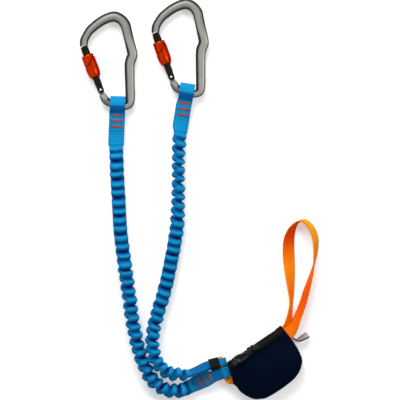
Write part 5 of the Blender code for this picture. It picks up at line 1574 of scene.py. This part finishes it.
# Across the tape: shares of its half width, and of its thickness there
TAPE_OFFSETS = np.array([-1.0, -0.97, -0.5, -0.36, -0.18, 0, 0.18, 0.36, 0.5, 0.97, 1.0])
TAPE_HEIGHTS = np.array([0.3, 0.8, 0.9, 1.0, 1.0, 1.0, 1.0, 1.0, 0.9, 0.8, 0.3])
COIL_LEFT, COIL_CROWN, COIL_RIGHT = 3, 5, 7  # the points across the tape that the coil stands on
TOOTH_PITCH, TOOTH_RISE, TOOTH_RADIUS = 0.0012, 0.00055, 0.00036
SLIDER_ALONG, SLIDER_RISE = 0.115, 0.0016
SLIDER_LENGTH, SLIDER_WIDTH, SLIDER_HALF_HEIGHT = 0.009, 0.006, 0.0011
# From one end of the slider's body to the other: along, its width and its height, in shares
SLIDER_ROWS = (
    (-0.50, 0.20, 0.35), (-0.46, 0.34, 0.75), (-0.34, 0.46, 0.95), (-0.1, 0.50, 1.0), (0.18, 0.50, 1.0),
    (0.36, 0.42, 0.95), (0.46, 0.32, 0.75), (0.50, 0.18, 0.35),
)  # fmt: skip
BRIDGE_HALF, BRIDGE_FOOT, BRIDGE_RISE, BRIDGE_WIRE = 0.0027, 0.0017, 0.0044, 0.00062
# The puller's loop on one side: along its reach, and across its width
PULLER_ROWS = ((1.0, 0.16), (0.72, 0.30), (0.40, 0.46), (0.12, 0.44), (0.0, 0.24), (0.0, 0.0))
PULLER_REACH, PULLER_WIDTH, PULLER_LOW, PULLER_HOLE = 0.0170, 0.009, 0.0016, 0.0043
PULLER_DIAMETER, KNOT_STRAND = 0.0022, 0.00125
# The knot's wraps: how often each goes round, and its way round and its place past the loop
KNOT_TURNS, KNOT_WRAPS = 1.6, ((1.0, 0.0026), (-1.0, 0.0078))


def surface_level(tree, x, y, reach=0.0012):
    """The highest point of the pouch's front close to a place."""
    found = []
    for dx in (-reach, 0, reach):
        for dy in (-reach, 0, reach):
            hit = tree.ray_cast(Vector((x + dx, y + dy, 0.1)), Vector((0, 0, -1)))
            if hit[0]:
                found.append(hit[0].z)
    return max(found)


def levels_across(tree, along, half, settings):
    """Three places across the zip there, half its width apart, and the pouch's height at each."""
    offsets = (-half / settings.depth, 0, half / settings.depth)
    plan = [pouch_place((along, ZIP_DOWN + offset), settings) for offset in offsets]
    return plan, np.array([surface_level(tree, *place) for place in plan])


def zip_tapes(tree, settings):
    """The two tapes as one woven strip that follows the pouch's front."""
    rings, marks = [], []
    half = TAPE_WIDTH / 2 / settings.depth
    for along in np.linspace(ZIP_START, ZIP_END, ZIP_ROWS):
        row = np.column_stack([np.full(len(TAPE_OFFSETS), along), ZIP_DOWN + TAPE_OFFSETS * half])
        plan = pouch_place(row, settings)
        levels = levels_across(tree, along, TAPE_WIDTH / 2, settings)[1]
        ground = np.interp(TAPE_OFFSETS, (-1, 0, 1), levels) + TAPE_GAP
        upper = np.column_stack([plan, ground + TAPE_HEIGHTS * TAPE_THICKNESS])
        rings.append(np.concatenate([upper, np.column_stack([plan, ground])[::-1]]))
        across = np.concatenate([TAPE_OFFSETS, TAPE_OFFSETS[::-1]]) * TAPE_WOVEN_HALF
        marks.append(np.column_stack([across, np.full(len(across), along * settings.width), 0 * across]))
    finish = material("black_zip_tape", woven_tape, settings.tape_colour, 1.0 * MM, 0.6)
    dress(skin("zip_tapes", rings, finish, {"weave": marks}), "pouch", ["zip_tape"])
    return np.array(rings)


def zip_coil(rings, settings):
    """The coil: one small rounded hoop for each tooth, side by side up the middle."""
    teeth = []
    number = int((ZIP_END - ZIP_START) * settings.width / TOOTH_PITCH)
    rise = np.array([0, 0, TOOTH_RISE])
    for tooth in range(number):
        t = (tooth + 0.5) / number * (ZIP_ROWS - 1)
        low, part = int(t), t - int(t)
        row = rings[low] * (1 - part) + rings[min(low + 1, ZIP_ROWS - 1)] * part
        left, crown, right = row[COIL_LEFT], row[COIL_CROWN], row[COIL_RIGHT]
        shoulders = (end * 0.6 + crown * 0.4 + rise for end in (left, right))
        teeth.append([left, next(shoulders), crown + rise * 1.15, next(shoulders), right])
    coil = material("black_nylon_coil", bonded_thread, linear("#0f0f11"))
    dress(tubes("zip_coil", teeth, TOOTH_RADIUS, coil), "pouch")


def zip_slider(tree, settings):
    """The slider's rounded body and its wire bridge, and the matrix that places them."""
    plan, level = levels_across(tree, SLIDER_ALONG, TAPE_WOVEN_HALF, settings)
    tilt = math.atan2(level[0] - level[2], float(np.linalg.norm(plan[0] - plan[2])))
    place = Vector((*plan[1], max(level[1], sum(level) / 3) + SLIDER_RISE))
    base = Matrix.Translation(place) @ Matrix.Rotation(POUCH_ANGLE, 4, "Z") @ Matrix.Rotation(tilt, 4, "X")
    out, up = shaped(20, 0.5, 0.6)
    rings = [
        np.column_stack([
            np.full(20, along * SLIDER_LENGTH), out * wide * SLIDER_WIDTH,
            (1 + up * high) * SLIDER_HALF_HEIGHT,
        ])
        for along, wide, high in SLIDER_ROWS
    ]  # fmt: skip
    zinc = material("lacquered_diecast_zinc", lacquered_zinc)
    piece = skin("zip_slider_body", rings, zinc)
    piece.data.transform(base)
    dress(piece, "zip_slider", ["zip_slider"])
    arch = [
        base @ Vector((BRIDGE_HALF * math.cos(a), 0, BRIDGE_FOOT + BRIDGE_RISE * math.sin(a)))
        for a in np.linspace(0, math.pi, 17)
    ]
    dress(tubes("zip_slider_bridge", [arch], BRIDGE_WIRE, zinc, 3), "zip_slider")
    return base


def puller(base, settings):
    """The cord doubled through the bridge, and its knot: two wraps round both strands, and two tails."""
    finish = material("braided_puller_cord", braided_cord, settings)
    reach, drop = PULLER_REACH, PULLER_HOLE - PULLER_LOW
    half = [
        (along * reach, across * PULLER_WIDTH, PULLER_LOW + drop * float(eased(1.15 - along * 1.6)))
        for along, across in PULLER_ROWS
    ]
    line = [base @ Vector(p) for p in smooth(half + [(x, -y, z) for x, y, z in half[-2::-1]], 64)]
    cord = tubes("puller_loop", [line], PULLER_DIAMETER / 2, finish, 3)
    dress(cord, "zip_slider", ["puller_cord"])

    wraps = [
        [
            (reach + 0.0003 + middle + 0.0026 * (k / 39 - 0.5) + 0.0011 * math.cos(a),
             0.0010 + turn * 0.0029 * math.sin(a + 0.6), 0.0036 + 0.0022 * math.cos(a + 0.6))
            for k, a in enumerate(np.linspace(0, 2 * math.pi * KNOT_TURNS, 40))
        ]
        for turn, middle in KNOT_WRAPS
    ]  # fmt: skip
    core = [(reach - 0.001 + 0.0125 * t, 0.0010 * math.sin(5.2 * t), 0.0034) for t in np.linspace(0, 1, 12)]
    tails = [
        [
            (reach + 0.0095 + 0.0045 * t, y * (0.4 + 0.9 * t), 0.0033 - 0.0012 * t)
            for t in np.linspace(0, 1, 6)
        ]
        for y in (0.0016, -0.0016)
    ]
    lines = [[base @ Vector(p) for p in part] for part in (*wraps, core, *tails)]
    knot = tubes("puller_stopper_knot", lines, KNOT_STRAND, finish, 3)
    dress(knot, "zip_slider", ["puller_knot"])
    length = float(sum((a - b).length for a, b in zip(line, line[1:])))


class LANYARD_OT_zip(bpy.types.Operator):
    """Adds the zip along the pouch's top edge: tapes, coil, slider, and the puller cord with its knot"""

    bl_idname = "lanyard.add_zip"
    bl_label = "Zip and puller"

    def execute(self, context):
        settings = context.scene.lanyard_pouch
        bm = bmesh.new()
        bm.from_mesh(bpy.data.objects["fabric_front"].data)
        tree = BVHTree.FromBMesh(bm)
        bm.free()
        zip_coil(zip_tapes(tree, settings), settings)
        puller(zip_slider(tree, settings), settings)
        return {"FINISHED"}


# Label and absorber

LABEL_HALF_WIDTH, LABEL_HALF_THICKNESS = 0.0050, 0.00045
LABEL_EDGE_OUT, LABEL_EDGE_HALF_WIDTH, LABEL_EDGE_HALF_THICKNESS = 0.0046, 0.0007, 0.00062
ABSORBER_LAYERS, ABSORBER_PITCH, ABSORBER_LAYER = 7, 0.0022, 0.0018
ABSORBER_LENGTH, ABSORBER_WIDTH = 0.038, 0.026


class LANYARD_OT_label(bpy.types.Operator):
    """Adds the folded ribbon tab at the pouch's side seam, left bare"""

    bl_idname = "lanyard.add_label"
    bl_label = "Label"

    def execute(self, context):
        route = Route(LABEL_ROUTE)
        at = np.linspace(0, route.length, 40)
        place, _, normal, across = route.frames(at)
        rings, marks = strap_rings(place, normal, across, LABEL_HALF_THICKNESS, LABEL_HALF_WIDTH, at, 16)
        grey = material("grey_satin_ribbon", woven_tape, linear("#cfccc9"), 1.0 * MM, 0.45)
        dress(skin("label_ribbon", rings, grey, {"weave": marks}), "pouch", ["label"])
        black = material("black_ribbon_edge", woven_tape, linear("#141416"), 1.0 * MM, 0.6)
        edge = place + across * LABEL_EDGE_OUT
        rings, marks = strap_rings(
            edge, normal, across, LABEL_EDGE_HALF_THICKNESS, LABEL_EDGE_HALF_WIDTH, at, 12
        )
        dress(skin("label_edge", rings, black, {"weave": marks}), "pouch")
        return {"FINISHED"}


class LANYARD_OT_absorber(bpy.types.Operator):
    """Adds the tear webbing that lies folded inside the pouch"""

    bl_idname = "lanyard.add_absorber"
    bl_label = "Absorber webbing"

    def execute(self, context):
        bend = ABSORBER_PITCH / 2
        half = ABSORBER_LENGTH / 2 - bend
        line = []
        for number in range(ABSORBER_LAYERS):
            way = 1 if number % 2 == 0 else -1
            level = (number - (ABSORBER_LAYERS - 1) / 2) * ABSORBER_PITCH
            line += [(way * far * half, level) for far in np.linspace(-1, 1, 12)]
            if number < ABSORBER_LAYERS - 1:
                line += [
                    (way * (half + bend * math.sin(a)), level + bend * (1 - math.cos(a)))
                    for a in np.linspace(0, math.pi, 9)[1:-1]
                ]
        line = np.array(line)
        ways = unit(np.gradient(line, axis=0))
        places = np.column_stack([line[:, 0], 0 * line[:, 0], line[:, 1]])
        normals = np.column_stack([-ways[:, 1], 0 * line[:, 0], ways[:, 0]])
        sides = np.tile([0.0, 1.0, 0.0], (len(line), 1))
        thick = ABSORBER_LAYER / 2 * 0.9
        rings, marks = strap_rings(places, normals, sides, thick, ABSORBER_WIDTH / 2, distances(line), 14)
        tan = material("tan_tear_webbing", woven_tape, linear("#d8a040"), 1.6 * MM)
        piece = skin("folded_tear_webbing", rings, tan, {"weave": marks})
        piece.data.transform(Matrix.Translation(POUCH_MIDDLE) @ Matrix.Rotation(POUCH_ANGLE, 4, "Z"))
        dress(piece, "pouch", ["absorber_webbing"])
        return {"FINISHED"}


# Panel and registration

OPERATORS = (
    LANYARD_OT_stage, LANYARD_OT_arms, LANYARD_OT_upper_eyes, LANYARD_OT_lower_eyes, LANYARD_OT_frames,
    LANYARD_OT_gates, LANYARD_OT_sleeves, LANYARD_OT_springs, LANYARD_OT_loops, LANYARD_OT_pouch,
    LANYARD_OT_zip, LANYARD_OT_label, LANYARD_OT_absorber,
)  # fmt: skip
GROUPS = {
    "lanyard_carabiners": CarabinerSettings,
    "lanyard_arms": ArmSettings,
    "lanyard_loops": LoopSettings,
    "lanyard_pouch": PouchSettings,
    "lanyard_stage": StageSettings,
}


class LANYARD_PT_pieces(bpy.types.Panel):
    """Lists the lanyard's pieces and their settings"""

    bl_label = "Via ferrata lanyard"
    bl_idname = "LANYARD_PT_pieces"
    bl_space_type = "VIEW_3D"
    bl_region_type = "UI"
    bl_category = "Lanyard"

    def draw(self, context):
        column = self.layout.column()
        for operator in OPERATORS:
            column.operator(operator.bl_idname)
        for name, group in GROUPS.items():
            column.separator()
            for key in group.__annotations__:
                column.prop(getattr(context.scene, name), key)


def register():
    for group in GROUPS.values():
        bpy.utils.register_class(group)
    for name, group in GROUPS.items():
        setattr(bpy.types.Scene, name, PointerProperty(type=group))
    for item in (*OPERATORS, LANYARD_PT_pieces):
        bpy.utils.register_class(item)


def unregister():
    for item in (LANYARD_PT_pieces, *reversed(OPERATORS)):
        bpy.utils.unregister_class(item)
    for name, group in GROUPS.items():
        delattr(bpy.types.Scene, name)
        bpy.utils.unregister_class(group)


def main():
    register()
    for operator in OPERATORS:
        area, name = operator.bl_idname.split(".")
        getattr(getattr(bpy.ops, area), name)()


if __name__ == "__main__":
    main()
